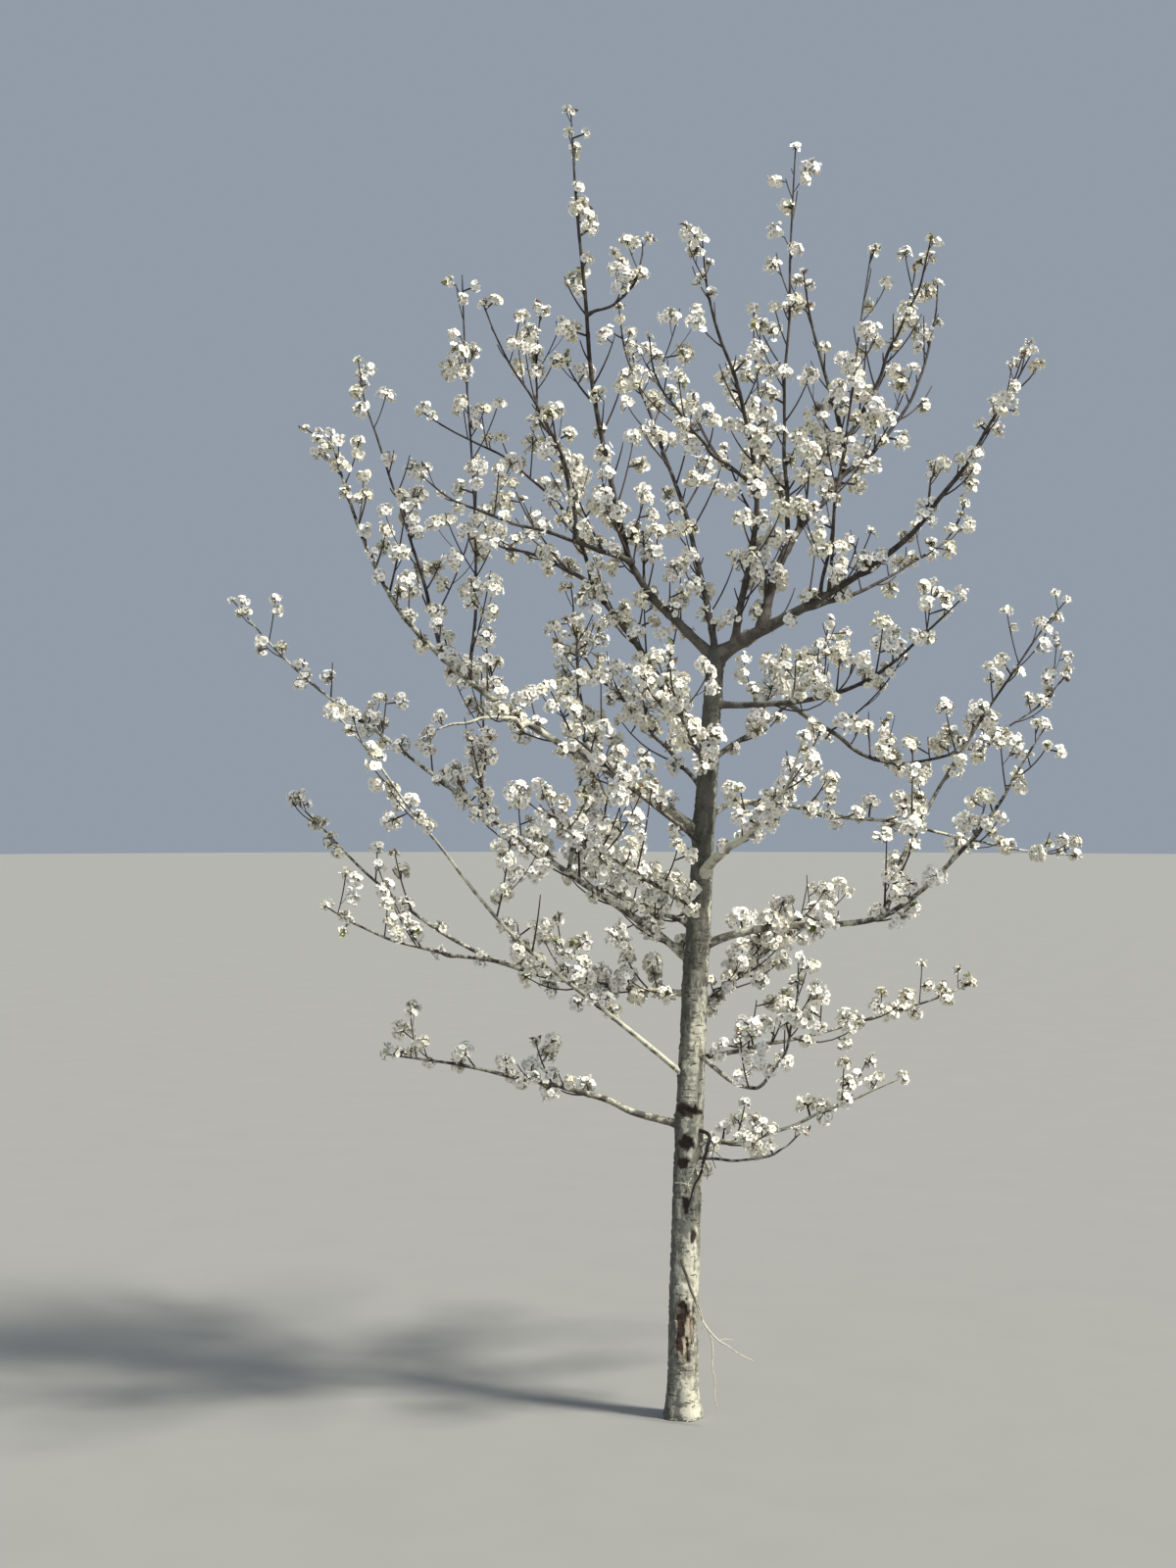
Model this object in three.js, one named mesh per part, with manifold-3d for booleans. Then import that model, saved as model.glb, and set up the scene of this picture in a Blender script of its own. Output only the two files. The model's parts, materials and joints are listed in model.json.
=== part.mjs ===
// A young callery pear in full blossom: one straight trunk, limbs that leave it all the way up,
// and bare twigs that carry their flowers in round clusters on short spurs.
// Millimetres, +Z up, the foot of the trunk at the origin, and -Y towards the viewer.
import * as THREE from "three";
import { mergeVertices } from "three/addons/utils/BufferGeometryUtils.js";
import Module from "manifold-3d";

const wasm = await Module();
wasm.setup();

const UP = new THREE.Vector3(0, 0, 1);
const GAP = 0.3; // left between two pieces that meet

// The trunk
const FORK_HEIGHT = 2343;
const FOOT_RADIUS = 46;
const FORK_RADIUS = 26;
const THINNING = 1.8; // above 1, the trunk keeps its girth low down and loses it high up
const FLARE = { out: 16, height: 70, ridges: 5, ridge: 5 }; // where the roots start
const LEAN = { across: 102, power: 1.7 }; // it grows away from the upright towards the fork
const TRUNK_SIDES = 12;
const TRUNK_STEPS = 13;
const CROWDING = 1.4; // above 1, the trunk's rings are closer together low down

// The eye that the limbs' places were read from, and its distance in front of the trunk.
const EYE = { across: -290, up: 1935, distance: 7200 };

// The limbs. Each leaves the trunk at a height, or another limb at 0 to 1 on the way to its knee, then to 2.
// knee and tip are [across, up, depth]: across and up as they look against the trunk, and depth away from
// the eye. leaves, through and ends are the limb's rise at its base, knee and tip, in degrees, and thick is
// its radius at the base. One that leaves another past its bough is a part of that one's twigs.
const LIMBS = {
  right_leader: {
    on: "trunk", at: 2325, leaves: 30, ends: 60, thick: 19,
    knee: [700, 2705, -150], tip: [1071, 3260, -260],
  },
  right_leader_fork: {
    on: "right_leader", at: 0.42, leaves: 12, ends: 70, thick: 8,
    knee: [585, 2547, 120], tip: [864, 2790, 440],
  },
  thin_upright: {
    on: "right_leader", at: 0.52, leaves: 65, ends: 75, thick: 6,
    knee: [472, 2820, -190], tip: [576, 3555, -60],
  },
  hook_leader: {
    on: "right_leader", at: 0.24, leaves: 78, through: 35, ends: 92, thick: 16,
    knee: [440, 2815, 110], tip: [369, 3500, 330],
  },
  tall_whip: {
    on: "hook_leader", at: 0.55, leaves: 85, ends: 88, thick: 8,
    knee: [312, 3010, 60], tip: [345, 3880, 90],
  },
  hook_fork: {
    on: "hook_leader", at: 1.3, leaves: 50, ends: 75, thick: 8,
    knee: [630, 3246, 210], tip: [759, 3600, 60],
  },
  hook_side: {
    on: "hook_leader", at: 1.1, leaves: 30, ends: 82, thick: 8,
    knee: [690, 3096, 330], tip: [780, 3465, 420],
  },
  back_top: {
    on: "hook_leader", at: 0.7, leaves: 60, ends: 84, thick: 7,
    knee: [270, 2900, 450], tip: [216, 3380, 780],
  },
  centre_leader: {
    on: "right_leader", at: 0.1, leaves: 74, ends: 93, thick: 12,
    knee: [222, 2900, -170], tip: [60, 3597, -430],
  },
  front_leader: {
    on: "centre_leader", at: 0.85, leaves: 50, ends: 80, thick: 7,
    knee: [60, 2976, -360], tip: [-102, 3300, -680],
  },
  left_leader: {
    on: "trunk", at: 2320, leaves: 42, ends: 86, thick: 16,
    knee: [-172, 2645, 20], tip: [-342, 3985, -100],
  },
  left_leader_fork: {
    on: "left_leader", at: 1.55, leaves: 30, ends: 80, thick: 5,
    knee: [-171, 3435, -90], tip: [-123, 3588, -60],
  },
  left_leader_side: {
    on: "left_leader", at: 0.9, leaves: 20, ends: 35, thick: 9,
    knee: [-330, 2676, -160], tip: [-795, 2874, -520],
  },
  upright_left: {
    on: "left_leader_side", at: 0.95, leaves: 85, ends: 70, thick: 7,
    knee: [-378, 2952, -200], tip: [-609, 3399, -330],
  },
  upright_left_twin: {
    on: "upright_left", at: 0.75, leaves: 75, ends: 89, thick: 5,
    knee: [-444, 3081, -110], tip: [-435, 3372, -60],
  },
  back_leader: {
    on: "trunk", at: 2330, leaves: 68, ends: 82, thick: 11,
    knee: [-21, 2859, 300], tip: [-195, 3390, 700],
  },

  upper_left: {
    on: "trunk", at: 2055, leaves: 42, ends: 25, thick: 13,
    knee: [-291, 2550, 230], tip: [-612, 2688, 620],
  },
  upper_left_fork: {
    on: "upper_left", at: 0.97, leaves: 75, ends: 30, thick: 7,
    knee: [-402, 2814, 110], tip: [-800, 3075, 60],
  },
  upper_right: {
    on: "trunk", at: 2180, leaves: 0, ends: 45, thick: 11,
    knee: [480, 2215, -200], tip: [852, 2500, -320],
  },
  upper_right_fork: {
    on: "upper_right", at: 0.6, leaves: -28, ends: 42, thick: 8,
    knee: [690, 2000, 120], tip: [1167, 2262, 560],
  },
  front_middle: {
    on: "trunk", at: 1960, leaves: 40, ends: 65, thick: 8,
    knee: [20, 2080, -330], tip: [-40, 2330, -800],
  },
  back_right_middle: {
    on: "trunk", at: 1990, leaves: 30, ends: 55, thick: 9,
    knee: [290, 2150, 430], tip: [450, 2440, 1080],
  },
  back_left_middle: {
    on: "trunk", at: 1900, leaves: 35, ends: 60, thick: 8,
    knee: [-120, 2120, 420], tip: [-330, 2420, 980],
  },

  long_left: {
    on: "trunk", at: 1780, leaves: 38, ends: 74, thick: 14,
    knee: [-790, 2375, -180], tip: [-1080, 3006, -280],
  },
  long_left_upright: {
    on: "long_left", at: 0.45, leaves: 80, ends: 88, thick: 5,
    knee: [-321, 2265, -30], tip: [-342, 2535, -30],
  },
  drooping_stub: {
    on: "long_left", at: 0.62, leaves: -50, ends: -15, thick: 7,
    knee: [-540, 2140, -240], tip: [-747, 2103, -300],
  },
  left_whip: {
    on: "long_left", at: 0.82, leaves: 75, ends: 89, thick: 6,
    knee: [-636, 2600, -90], tip: [-675, 3486, -150],
  },
  left_fork: {
    on: "long_left", at: 0.93, leaves: 60, ends: 80, thick: 7,
    knee: [-825, 2660, 30], tip: [-993, 3230, 150],
  },
  level_right: {
    on: "trunk", at: 1825, leaves: 42, ends: -4, thick: 10,
    knee: [501, 1836, 220], tip: [1200, 1716, 600],
  },
  sunlit_left: {
    on: "trunk", at: 1737, leaves: 42, ends: 60, thick: 8,
    knee: [-171, 1932, -260], tip: [-411, 2235, -620],
  },
  front_right: {
    on: "trunk", at: 1645, leaves: 45, ends: 60, thick: 12,
    knee: [207, 1790, -330], tip: [369, 2080, -800],
  },

  far_left: {
    on: "trunk", at: 1380, leaves: 40, ends: 50, thick: 13,
    knee: [-600, 1845, 170], tip: [-1377, 2496, 500],
  },
  far_left_upright: {
    on: "far_left", at: 0.45, leaves: 75, ends: 88, thick: 5,
    knee: [-240, 1773, 60], tip: [-231, 1950, 20],
  },
  far_left_tall: {
    on: "far_left", at: 0.6, leaves: 75, ends: 90, thick: 6,
    knee: [-306, 2016, 210], tip: [-321, 2385, 190],
  },
  far_left_whip: {
    on: "far_left", at: 1.02, leaves: 80, ends: 88, thick: 5,
    knee: [-606, 2049, 190], tip: [-618, 2295, 150],
  },
  far_right: {
    on: "trunk", at: 1434, leaves: 33, through: 45, ends: 55, thick: 13,
    knee: [735, 1605, -170], tip: [1110, 2110, -480],
  },
  far_right_fork: {
    on: "far_right", at: 0.8, leaves: 60, ends: 50, thick: 9,
    knee: [783, 1920, 60], tip: [1173, 2496, 130],
  },
  front_left: {
    on: "trunk", at: 1530, leaves: 30, ends: 50, thick: 9,
    knee: [-190, 1690, -430], tip: [-440, 1930, -950],
  },
  back_left_low: {
    on: "trunk", at: 1460, leaves: 32, ends: 48, thick: 9,
    knee: [-190, 1600, 440], tip: [-400, 1870, 1050],
  },

  low_left: {
    on: "trunk", at: 1290, leaves: 4, ends: 42, thick: 10,
    knee: [-645, 1425, 60], tip: [-1194, 1890, 140],
  },
  low_left_fork: {
    on: "low_left", at: 0.85, leaves: 10, ends: 25, thick: 6,
    knee: [-891, 1455, -250], tip: [-1092, 1560, -500],
  },
  back_right_low: {
    on: "trunk", at: 1220, leaves: 28, ends: 45, thick: 9,
    knee: [230, 1390, 400], tip: [430, 1620, 1000],
  },
  drooping_right: {
    on: "trunk", at: 1120, leaves: -20, ends: 84, thick: 8,
    knee: [237, 1011, -190], tip: [354, 1400, -520],
  },
  low_right: {
    on: "trunk", at: 1080, leaves: 22, ends: 20, thick: 9,
    knee: [318, 1149, 90], tip: [885, 1326, 320],
  },
  crossing_left: {
    on: "trunk", at: 1026, leaves: 40, ends: 44, thick: 9,
    knee: [-528, 1482, -290], tip: [-1062, 2151, -620],
  },
  lowest_left: {
    on: "trunk", at: 885, leaves: 14, ends: 10, thick: 12,
    knee: [-400, 1015, -80], tip: [-906, 1107, -250],
  },
  lowest_right: {
    on: "trunk", at: 846, leaves: -8, ends: 22, thick: 9,
    knee: [258, 864, -40], tip: [669, 1035, -230],
  },
  lowest_spur: {
    on: "trunk", at: 800, leaves: -5, ends: 45, thick: 5,
    knee: [246, 792, -170], tip: [369, 873, -240],
  },
};
const TIP_RADIUS = 2.4;
const KINK = 5; // how far a limb strays from its curve at each joint, a pear's zigzag
const THINNING_OUT = 0.75; // below 1, a limb keeps its girth longer
const LIMB_STEPS = 5; // from the base to the knee, and again from the knee to the tip
const BOUGH_STEPS = 2; // the bare part of them
const BOUGH_SIDES = 5;
const STEM_SIDES = 3;

// Shoots that leave a limb's twiggy part
const SHOOT = {
  spacing: 370,
  length: 400,
  least: 0.4, // the smallest draw, as a share of that length
  shorter: 0.6, // how much of it is lost towards the limb's tip
  cut: 0.75, // what is left each time that it has no room
  shortest: 90,
  forwards: 0.5, // the parts of its first direction
  sideways: 0.8,
  upwards: 0.5,
  turning: 1, // how much it turns up further out
  thinner: 0.45, // its base's radius as a share of its limb's
  tip: 1.9,
  room: 16, // kept round it
  tests: 6, // places along it where that is tested
  steps: 1,
  sides: 3,
};
const GOLDEN_ANGLE = Math.PI * (3 - Math.sqrt(5)); // from one piece to the next round a limb
const PLACING = { from: 0.3, spread: 0.5 }; // of a piece in its equal share of the line

// Flower clusters
const CLUSTER = {
  spacing: 170,
  smallest: 36, // radii
  largest: 47,
  turning: 2, // the most that one strays from its turn round the twig, in radians
  lifted: 0.6, // how far it faces up
  past: 14, // how far the last one's centre is past the twig's end
  apart: 0.85, // least distance between two, as a share of their radii
};
const FACE_CENTRE = new THREE.Vector3(1, 1, 1).normalize(); // of an eight-faced solid
const SPACE = 1; // least distance from the pieces of another limb

// A dead shoot low on the front of the trunk
const DEAD_SHOOT = {
  root: [0, 0, 500],
  fork: [10, -60, 440],
  elbow: [72, -105, 290],
  end: [206, -150, 205],
  hanging: [96, -128, 58],
  thick: 6,
  thin: 3.6,
  tip: 1.6,
  sides: 4,
};

const GENERATOR = { factor: 16807, modulus: 2147483647, step: 7919, start: 104729 };
const SEEDS = { each: 100, onShoots: 50, onStem: 99 }; // a limb's own hundred, and where in it
const NEARLY_UPRIGHT = 0.01;
const MERGED = 1e-3; // corners closer than this are one

// The same draws from the same seed: a small multiplicative generator.
function seeded(seed) {
  let state = (seed * GENERATOR.step + GENERATOR.start) % GENERATOR.modulus;
  return () => {
    state = (state * GENERATOR.factor) % GENERATOR.modulus;
    return state / GENERATOR.modulus;
  };
}

// A place as it looks against the trunk, moved along its sight line to its depth.
function seen([across, up, depth]) {
  const spread = 1 + depth / EYE.distance;
  return new THREE.Vector3(
    EYE.across + (across - EYE.across) * spread,
    depth,
    EYE.up + (up - EYE.up) * spread,
  );
}

// The direction from one place towards another, with a rise of its own.
function heading(from, to, rise) {
  const level = new THREE.Vector3(to.x - from.x, to.y - from.y, 0).normalize();
  const angle = THREE.MathUtils.degToRad(rise);
  return level.multiplyScalar(Math.cos(angle)).addScaledVector(UP, Math.sin(angle));
}

// A curve that leaves a in one direction and reaches b in another.
function sweep(a, leaving, b, arriving) {
  const handle = a.distanceTo(b) / 3;
  return new THREE.CubicBezierCurve3(
    a,
    a.clone().addScaledVector(leaving, handle),
    b.clone().addScaledVector(arriving, -handle),
    b,
  ).getPoints(LIMB_STEPS);
}

// Directions across a line: one level, and one that rises as far as the line allows.
function across(along) {
  const level = new THREE.Vector3().crossVectors(along, UP);
  if (level.lengthSq() < NEARLY_UPRIGHT) level.set(1, 0, 0);
  level.normalize();
  return [level, new THREE.Vector3().crossVectors(level, along).normalize()];
}

function trunkRadius(height) {
  const share = height / FORK_HEIGHT;
  return FOOT_RADIUS + (FORK_RADIUS - FOOT_RADIUS) * share ** THINNING
    + FLARE.out * Math.exp(-height / FLARE.height);
}

function trunkCentre(height) {
  return new THREE.Vector3(LEAN.across * (height / FORK_HEIGHT) ** LEAN.power, 0, height);
}

function trunkHeight(share) {
  return FORK_HEIGHT * share ** CROWDING;
}

// The line of a limb through its base, knee and tip, and its radius at each point.
function limbLine(limb, start) {
  const knee = seen(limb.knee);
  const tip = seen(limb.tip);
  const through = limb.through === undefined
    ? tip.clone().sub(start).normalize()
    : heading(start, knee, limb.through);
  const lower = sweep(start, heading(start, knee, limb.leaves), knee, through);
  const upper = sweep(knee, through, tip, heading(knee, tip, limb.ends));
  const points = [...lower, ...upper.slice(1)];
  const random = seeded(limb.seed);
  points.forEach((point, i) => {
    const stray = new THREE.Vector3(random() - 0.5, random() - 0.5, random() - 0.5);
    if (i > 0 && i < points.length - 1) point.addScaledVector(stray, 2 * KINK);
  });
  const radii = points.map((_, i) => {
    const left = 1 - i / (points.length - 1);
    return TIP_RADIUS + (limb.thick - TIP_RADIUS) * left ** THINNING_OUT;
  });
  return { points, radii };
}

// A place at a share of the steps along a line.
function along(points, share) {
  const place = share * (points.length - 1);
  const i = Math.min(Math.floor(place), points.length - 2);
  return {
    point: points[i].clone().lerp(points[i + 1], place - i),
    direction: points[i + 1].clone().sub(points[i]).normalize(),
  };
}

// Where the next of some pieces spread along a line sits, as a share of it.
function placing(k, count, random) {
  return (k + PLACING.from + PLACING.spread * random()) / count;
}

// A direction away from a line, at a turn round it.
function outwards(direction, turn) {
  const [level, rising] = across(direction);
  return level.multiplyScalar(Math.cos(turn)).addScaledVector(rising, Math.sin(turn));
}

function lengthOf(points) {
  return points.slice(1).reduce((sum, point, i) => sum + point.distanceTo(points[i]), 0);
}

// A closed round piece along part of a line, from a cylinder whose rings are laid over its points.
function taper({ points, radii }, sides, part = {}) {
  const { from = 0, to = points.length - 1, grown = 0, late = 0 } = part;
  const rings = [];
  let level = null;
  for (let i = from; i <= to; i++) {
    const before = points[Math.max(i - 1, 0)];
    const after = points[Math.min(i + 1, points.length - 1)];
    const direction = after.clone().sub(before).normalize();
    level = (level ?? across(direction)[0]).clone();
    level.addScaledVector(direction, -level.dot(direction)).normalize();
    const point = points[i].clone().addScaledVector(direction, i === from ? late : 0);
    const other = new THREE.Vector3().crossVectors(level, direction);
    rings.push({ point, level, other, radius: radii[i] + grown });
  }
  const geometry = new THREE.CylinderGeometry(1, 1, 1, sides, to - from);
  const position = geometry.getAttribute("position");
  for (let i = 0; i < position.count; i++) {
    const ring = rings[Math.round((position.getY(i) + 0.5) * (to - from))];
    const placed = ring.point.clone()
      .addScaledVector(ring.level, ring.radius * position.getX(i))
      .addScaledVector(ring.other, ring.radius * position.getZ(i));
    position.setXYZ(i, placed.x, placed.y, placed.z);
  }
  return geometry;
}

// The trunk, as level rings round its leaning centre, with low ridges where the roots start.
function trunkGeometry(grown = 0) {
  const geometry = new THREE.CylinderGeometry(1, 1, 1, TRUNK_SIDES, TRUNK_STEPS);
  const position = geometry.getAttribute("position");
  for (let i = 0; i < position.count; i++) {
    const height = trunkHeight(position.getY(i) + 0.5);
    const x = position.getX(i);
    const z = position.getZ(i);
    const ridge = FLARE.ridge * Math.cos(FLARE.ridges * Math.atan2(z, x));
    const radius = trunkRadius(height) + ridge * Math.exp(-height / FLARE.height) + grown;
    const centre = trunkCentre(height);
    position.setXYZ(i, centre.x + radius * x, centre.y - radius * z, height);
  }
  return geometry;
}

function solidOf(geometry) {
  const bare = geometry.clone();
  bare.deleteAttribute("normal");
  bare.deleteAttribute("uv");
  const merged = mergeVertices(bare.index ? bare.toNonIndexed() : bare, MERGED);
  return new wasm.Manifold(
    new wasm.Mesh({
      numProp: 3,
      vertProperties: merged.getAttribute("position").array,
      triVerts: new Uint32Array(merged.index.array),
    }),
  );
}

// The largest piece of a solid, as loose scraps and sealed hollows are separate pieces of it.
function whole(solid) {
  const larger = (best, piece) => (piece.volume() > best.volume() ? piece : best);
  return solid.decompose().reduce(larger);
}

function geometryOf(solid) {
  const mesh = solid.getMesh();
  return new THREE.BufferGeometry()
    .setAttribute("position", new THREE.BufferAttribute(mesh.vertProperties, 3))
    .setIndex(new THREE.BufferAttribute(mesh.triVerts, 1));
}

// The trunk's line, and every limb's, worked out parent first. Limbs of one mass share its name.
const trunkHeights = Array.from({ length: TRUNK_STEPS + 1 }, (_, i) => trunkHeight(i / TRUNK_STEPS));
const trunkLine = { points: trunkHeights.map(trunkCentre), radii: trunkHeights.map(trunkRadius) };
const limbs = Object.entries(LIMBS).map(([name, limb], i) => ({ name, seed: i + 1, ...limb }));
for (const limb of limbs) {
  limb.parent = limbs.find((other) => other.name === limb.on);
  const start = limb.parent ? along(limb.parent.points, limb.at / 2).point : trunkCentre(limb.at);
  Object.assign(limb, limbLine(limb, start));
  limb.hasBough = !limb.parent || limb.at * LIMB_STEPS < BOUGH_STEPS;
  limb.mass = limb.hasBough ? limb.name : limb.parent.mass;
  limb.stemFrom = limb.hasBough ? BOUGH_STEPS : 0;
}
const boughs = limbs.filter((limb) => limb.hasBough);

// How far a place is from a limb's centre line, and the limb's radius there.
function nearest(place, line, to = line.points.length - 1) {
  const best = { distance: Infinity, radius: 0 };
  const segment = new THREE.Line3();
  const foot = new THREE.Vector3();
  for (let i = 0; i < to; i++) {
    segment.set(line.points[i], line.points[i + 1]).closestPointToPoint(place, true, foot);
    const distance = foot.distanceTo(place);
    if (distance < best.distance) Object.assign(best, { distance, radius: line.radii[i] });
  }
  return best;
}

// A piece keeps to its own mass's space: nearer to that mass's limbs than to any other, and off the
// trunk and the boughs.
function hasRoom(place, radius, mass) {
  const clear = (found) => found.distance > found.radius + radius + SPACE;
  if (!clear(nearest(place, trunkLine))) return false;
  if (!boughs.every((limb) => clear(nearest(place, limb, BOUGH_STEPS)))) return false;
  let own = Infinity;
  let others = Infinity;
  for (const limb of limbs) {
    const { distance } = nearest(place, limb);
    if (limb.mass === mass) own = Math.min(own, distance);
    else others = Math.min(others, distance);
  }
  return others - own > 2 * radius + SPACE;
}

// One shoot: it leaves sideways and forwards, then turns up.
function shootCurve(base, direction, turn, length) {
  const leaving = direction.clone().multiplyScalar(SHOOT.forwards)
    .addScaledVector(outwards(direction, turn), SHOOT.sideways)
    .addScaledVector(UP, SHOOT.upwards)
    .normalize();
  const arriving = leaving.clone().addScaledVector(UP, SHOOT.turning).normalize();
  const bend = base.clone().addScaledVector(leaving, length / 2);
  const end = bend.clone().addScaledVector(arriving, length / 2);
  return new THREE.QuadraticBezierCurve3(base, bend, end);
}

function fits(curve, mass) {
  return curve.getPoints(SHOOT.tests).slice(1).every((place) => hasRoom(place, SHOOT.room, mass));
}

// The shoots of a limb's twiggy part. One that leaves its mass's space is grown shorter, or not at all.
function shootsOf(limb) {
  const points = limb.points.slice(limb.stemFrom);
  const count = Math.round(lengthOf(points) / SHOOT.spacing);
  const shoots = [];
  for (let k = 0; k < count; k++) {
    const seed = SEEDS.each * limb.seed + k;
    const random = seeded(seed);
    const share = placing(k, count, random);
    const turn = k * GOLDEN_ANGLE + random();
    const { point, direction } = along(points, share);
    const drawn = SHOOT.least + (1 - SHOOT.least) * random();
    let length = SHOOT.length * drawn * (1 - SHOOT.shorter * share);
    let curve = shootCurve(point, direction, turn, length);
    while (length > SHOOT.shortest && !fits(curve, limb.mass)) {
      length *= SHOOT.cut;
      curve = shootCurve(point, direction, turn, length);
    }
    if (length <= SHOOT.shortest) continue;
    const line = curve.getPoints(SHOOT.steps);
    const root = SHOOT.thinner * nearest(point, limb).radius;
    const radii = line.map((_, i) => root + (SHOOT.tip - root) * (i / SHOOT.steps));
    shoots.push({ points: line, radii, seed: seed + SEEDS.onShoots });
  }
  return shoots;
}

// Flower clusters along a stem or shoot, by turns to all sides, and one at its end.
// A cluster is left out where it leaves its mass's space or would sit in one of the others.
function addClusters(clusters, points, mass, seed) {
  const random = seeded(seed);
  const count = Math.max(1, Math.round(lengthOf(points) / CLUSTER.spacing));
  for (let k = 0; k <= count; k++) {
    const ends = k === count;
    const share = ends ? 1 : placing(k, count, random);
    const turn = k * GOLDEN_ANGLE + CLUSTER.turning * random();
    const radius = CLUSTER.smallest + (CLUSTER.largest - CLUSTER.smallest) * random();
    const { point, direction } = along(points, share);
    const lifted = outwards(direction, turn).addScaledVector(UP, CLUSTER.lifted).normalize();
    const facing = ends ? direction : lifted;
    const centre = point.clone().addScaledVector(facing, ends ? CLUSTER.past : radius);
    const taken = clusters.some((other) =>
      other.centre.distanceTo(centre) < CLUSTER.apart * (other.radius + radius));
    if (!taken && hasRoom(centre, radius, mass)) clusters.push({ centre, facing, radius, ends });
  }
}

// One cluster as an eight-faced solid: a corner is sunk in the twig beside it, or a face looks back at
// the twig that ends in it.
function clusterGeometry({ centre, facing, radius, ends }) {
  const turned = new THREE.Quaternion().setFromUnitVectors(ends ? FACE_CENTRE : UP, facing);
  return new THREE.OctahedronGeometry(radius).applyQuaternion(turned).translate(...centre);
}

// A limb's bare part, and the stem of its twiggy part.
function boughSolid(limb, grown = 0) {
  return solidOf(taper(limb, BOUGH_SIDES, { to: BOUGH_STEPS, grown }));
}

function stemSolid(limb) {
  const late = limb.hasBough ? GAP : 0;
  return solidOf(taper(limb, STEM_SIDES, { from: limb.stemFrom, late }));
}

// The twigs and blossom of one mass, fused.
function massSolid(mass) {
  const members = limbs.filter((limb) => limb.mass === mass);
  const clusters = [];
  const pieces = [];
  for (const limb of members) {
    const shoots = shootsOf(limb);
    const seed = SEEDS.each * limb.seed + SEEDS.onStem;
    addClusters(clusters, limb.points.slice(limb.stemFrom), mass, seed);
    for (const shoot of shoots) addClusters(clusters, shoot.points, mass, shoot.seed);
    pieces.push(stemSolid(limb), ...shoots.map((shoot) => solidOf(taper(shoot, SHOOT.sides))));
  }
  pieces.push(...clusters.map((cluster) => solidOf(clusterGeometry(cluster))));
  return wasm.Manifold.union(pieces);
}

// A bough, cut clear of the trunk, of the limb that it grows from, and of earlier ones on the same limb.
function clearedBough(bough) {
  const before = boughs.slice(0, boughs.indexOf(bough));
  return before
    .filter((other) => other === bough.parent || other.on === bough.on)
    .reduce((left, other) => left.subtract(boughSolid(other, GAP)), boughSolid(bough))
    .subtract(solidOf(trunkGeometry(GAP)));
}

// The dead shoot: out from the trunk, then forked, with one piece that hangs straight down.
function deadShootSolid() {
  const { root, fork, elbow, end, hanging, thick, thin, tip, sides } = DEAD_SHOOT;
  const piece = (places, radii) => {
    const points = places.map((place) => new THREE.Vector3(...place));
    return solidOf(taper({ points, radii }, sides));
  };
  return wasm.Manifold.union([
    piece([root, fork, elbow], [thick, thick, thin]),
    piece([fork, elbow, end], [thin, thin, tip]),
    piece([fork, elbow, hanging], [thin, thin, tip]),
  ]).subtract(solidOf(trunkGeometry(GAP)));
}

const MATERIALS = {
  bark: new THREE.MeshStandardMaterial({ color: 0x8c8a80, roughness: 0.9, metalness: 0 }),
  twig: new THREE.MeshStandardMaterial({ color: 0x4a3d38, roughness: 0.85, metalness: 0 }),
  blossom: new THREE.MeshStandardMaterial({ color: 0xf2f1e8, roughness: 0.7, metalness: 0 }),
  deadwood: new THREE.MeshStandardMaterial({ color: 0xb9ad98, roughness: 0.9, metalness: 0 }),
};

const tree = new THREE.Group();

function add(name, geometry, material) {
  const mesh = new THREE.Mesh(geometry, material);
  mesh.name = name;
  tree.add(mesh);
}

add("trunk", geometryOf(solidOf(trunkGeometry())), MATERIALS.bark);
add("dead_shoot", geometryOf(whole(deadShootSolid())), MATERIALS.deadwood);
for (const bough of boughs) {
  add(`${bough.name}_bough`, geometryOf(whole(clearedBough(bough))), MATERIALS.twig);
  add(`${bough.name}_twigs`, geometryOf(whole(massSolid(bough.name))), MATERIALS.blossom);
}

export default tree;
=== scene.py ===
"""A young callery pear in full blossom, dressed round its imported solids.

The limbs and shoots grow here by the same seeded rule as the solids do, in millimetres. They are then
carried on to short twigs, spurs, clusters and single flowers, within the same reach. Every mesh is in
metres, and has its place in its vertices.
"""

import functools
import json
import math
from types import SimpleNamespace

import bmesh
import bpy
import numpy as np
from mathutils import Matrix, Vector

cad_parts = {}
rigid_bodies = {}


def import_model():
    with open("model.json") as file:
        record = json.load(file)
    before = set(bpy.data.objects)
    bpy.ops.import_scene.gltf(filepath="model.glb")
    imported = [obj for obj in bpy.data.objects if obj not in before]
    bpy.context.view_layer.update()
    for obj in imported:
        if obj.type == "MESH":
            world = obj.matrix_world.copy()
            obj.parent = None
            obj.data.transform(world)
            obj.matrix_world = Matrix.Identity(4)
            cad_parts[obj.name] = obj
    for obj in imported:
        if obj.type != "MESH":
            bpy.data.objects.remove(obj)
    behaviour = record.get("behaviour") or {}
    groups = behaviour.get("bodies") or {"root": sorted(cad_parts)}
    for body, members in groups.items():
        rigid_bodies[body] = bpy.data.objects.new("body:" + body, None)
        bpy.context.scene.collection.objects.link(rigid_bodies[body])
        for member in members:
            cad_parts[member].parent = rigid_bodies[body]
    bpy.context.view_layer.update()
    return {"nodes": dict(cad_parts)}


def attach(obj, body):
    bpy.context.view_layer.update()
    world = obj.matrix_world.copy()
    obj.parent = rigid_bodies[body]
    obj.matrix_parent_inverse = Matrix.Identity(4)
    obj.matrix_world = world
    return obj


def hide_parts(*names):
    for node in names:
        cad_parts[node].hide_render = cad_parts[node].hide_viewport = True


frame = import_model()

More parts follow.
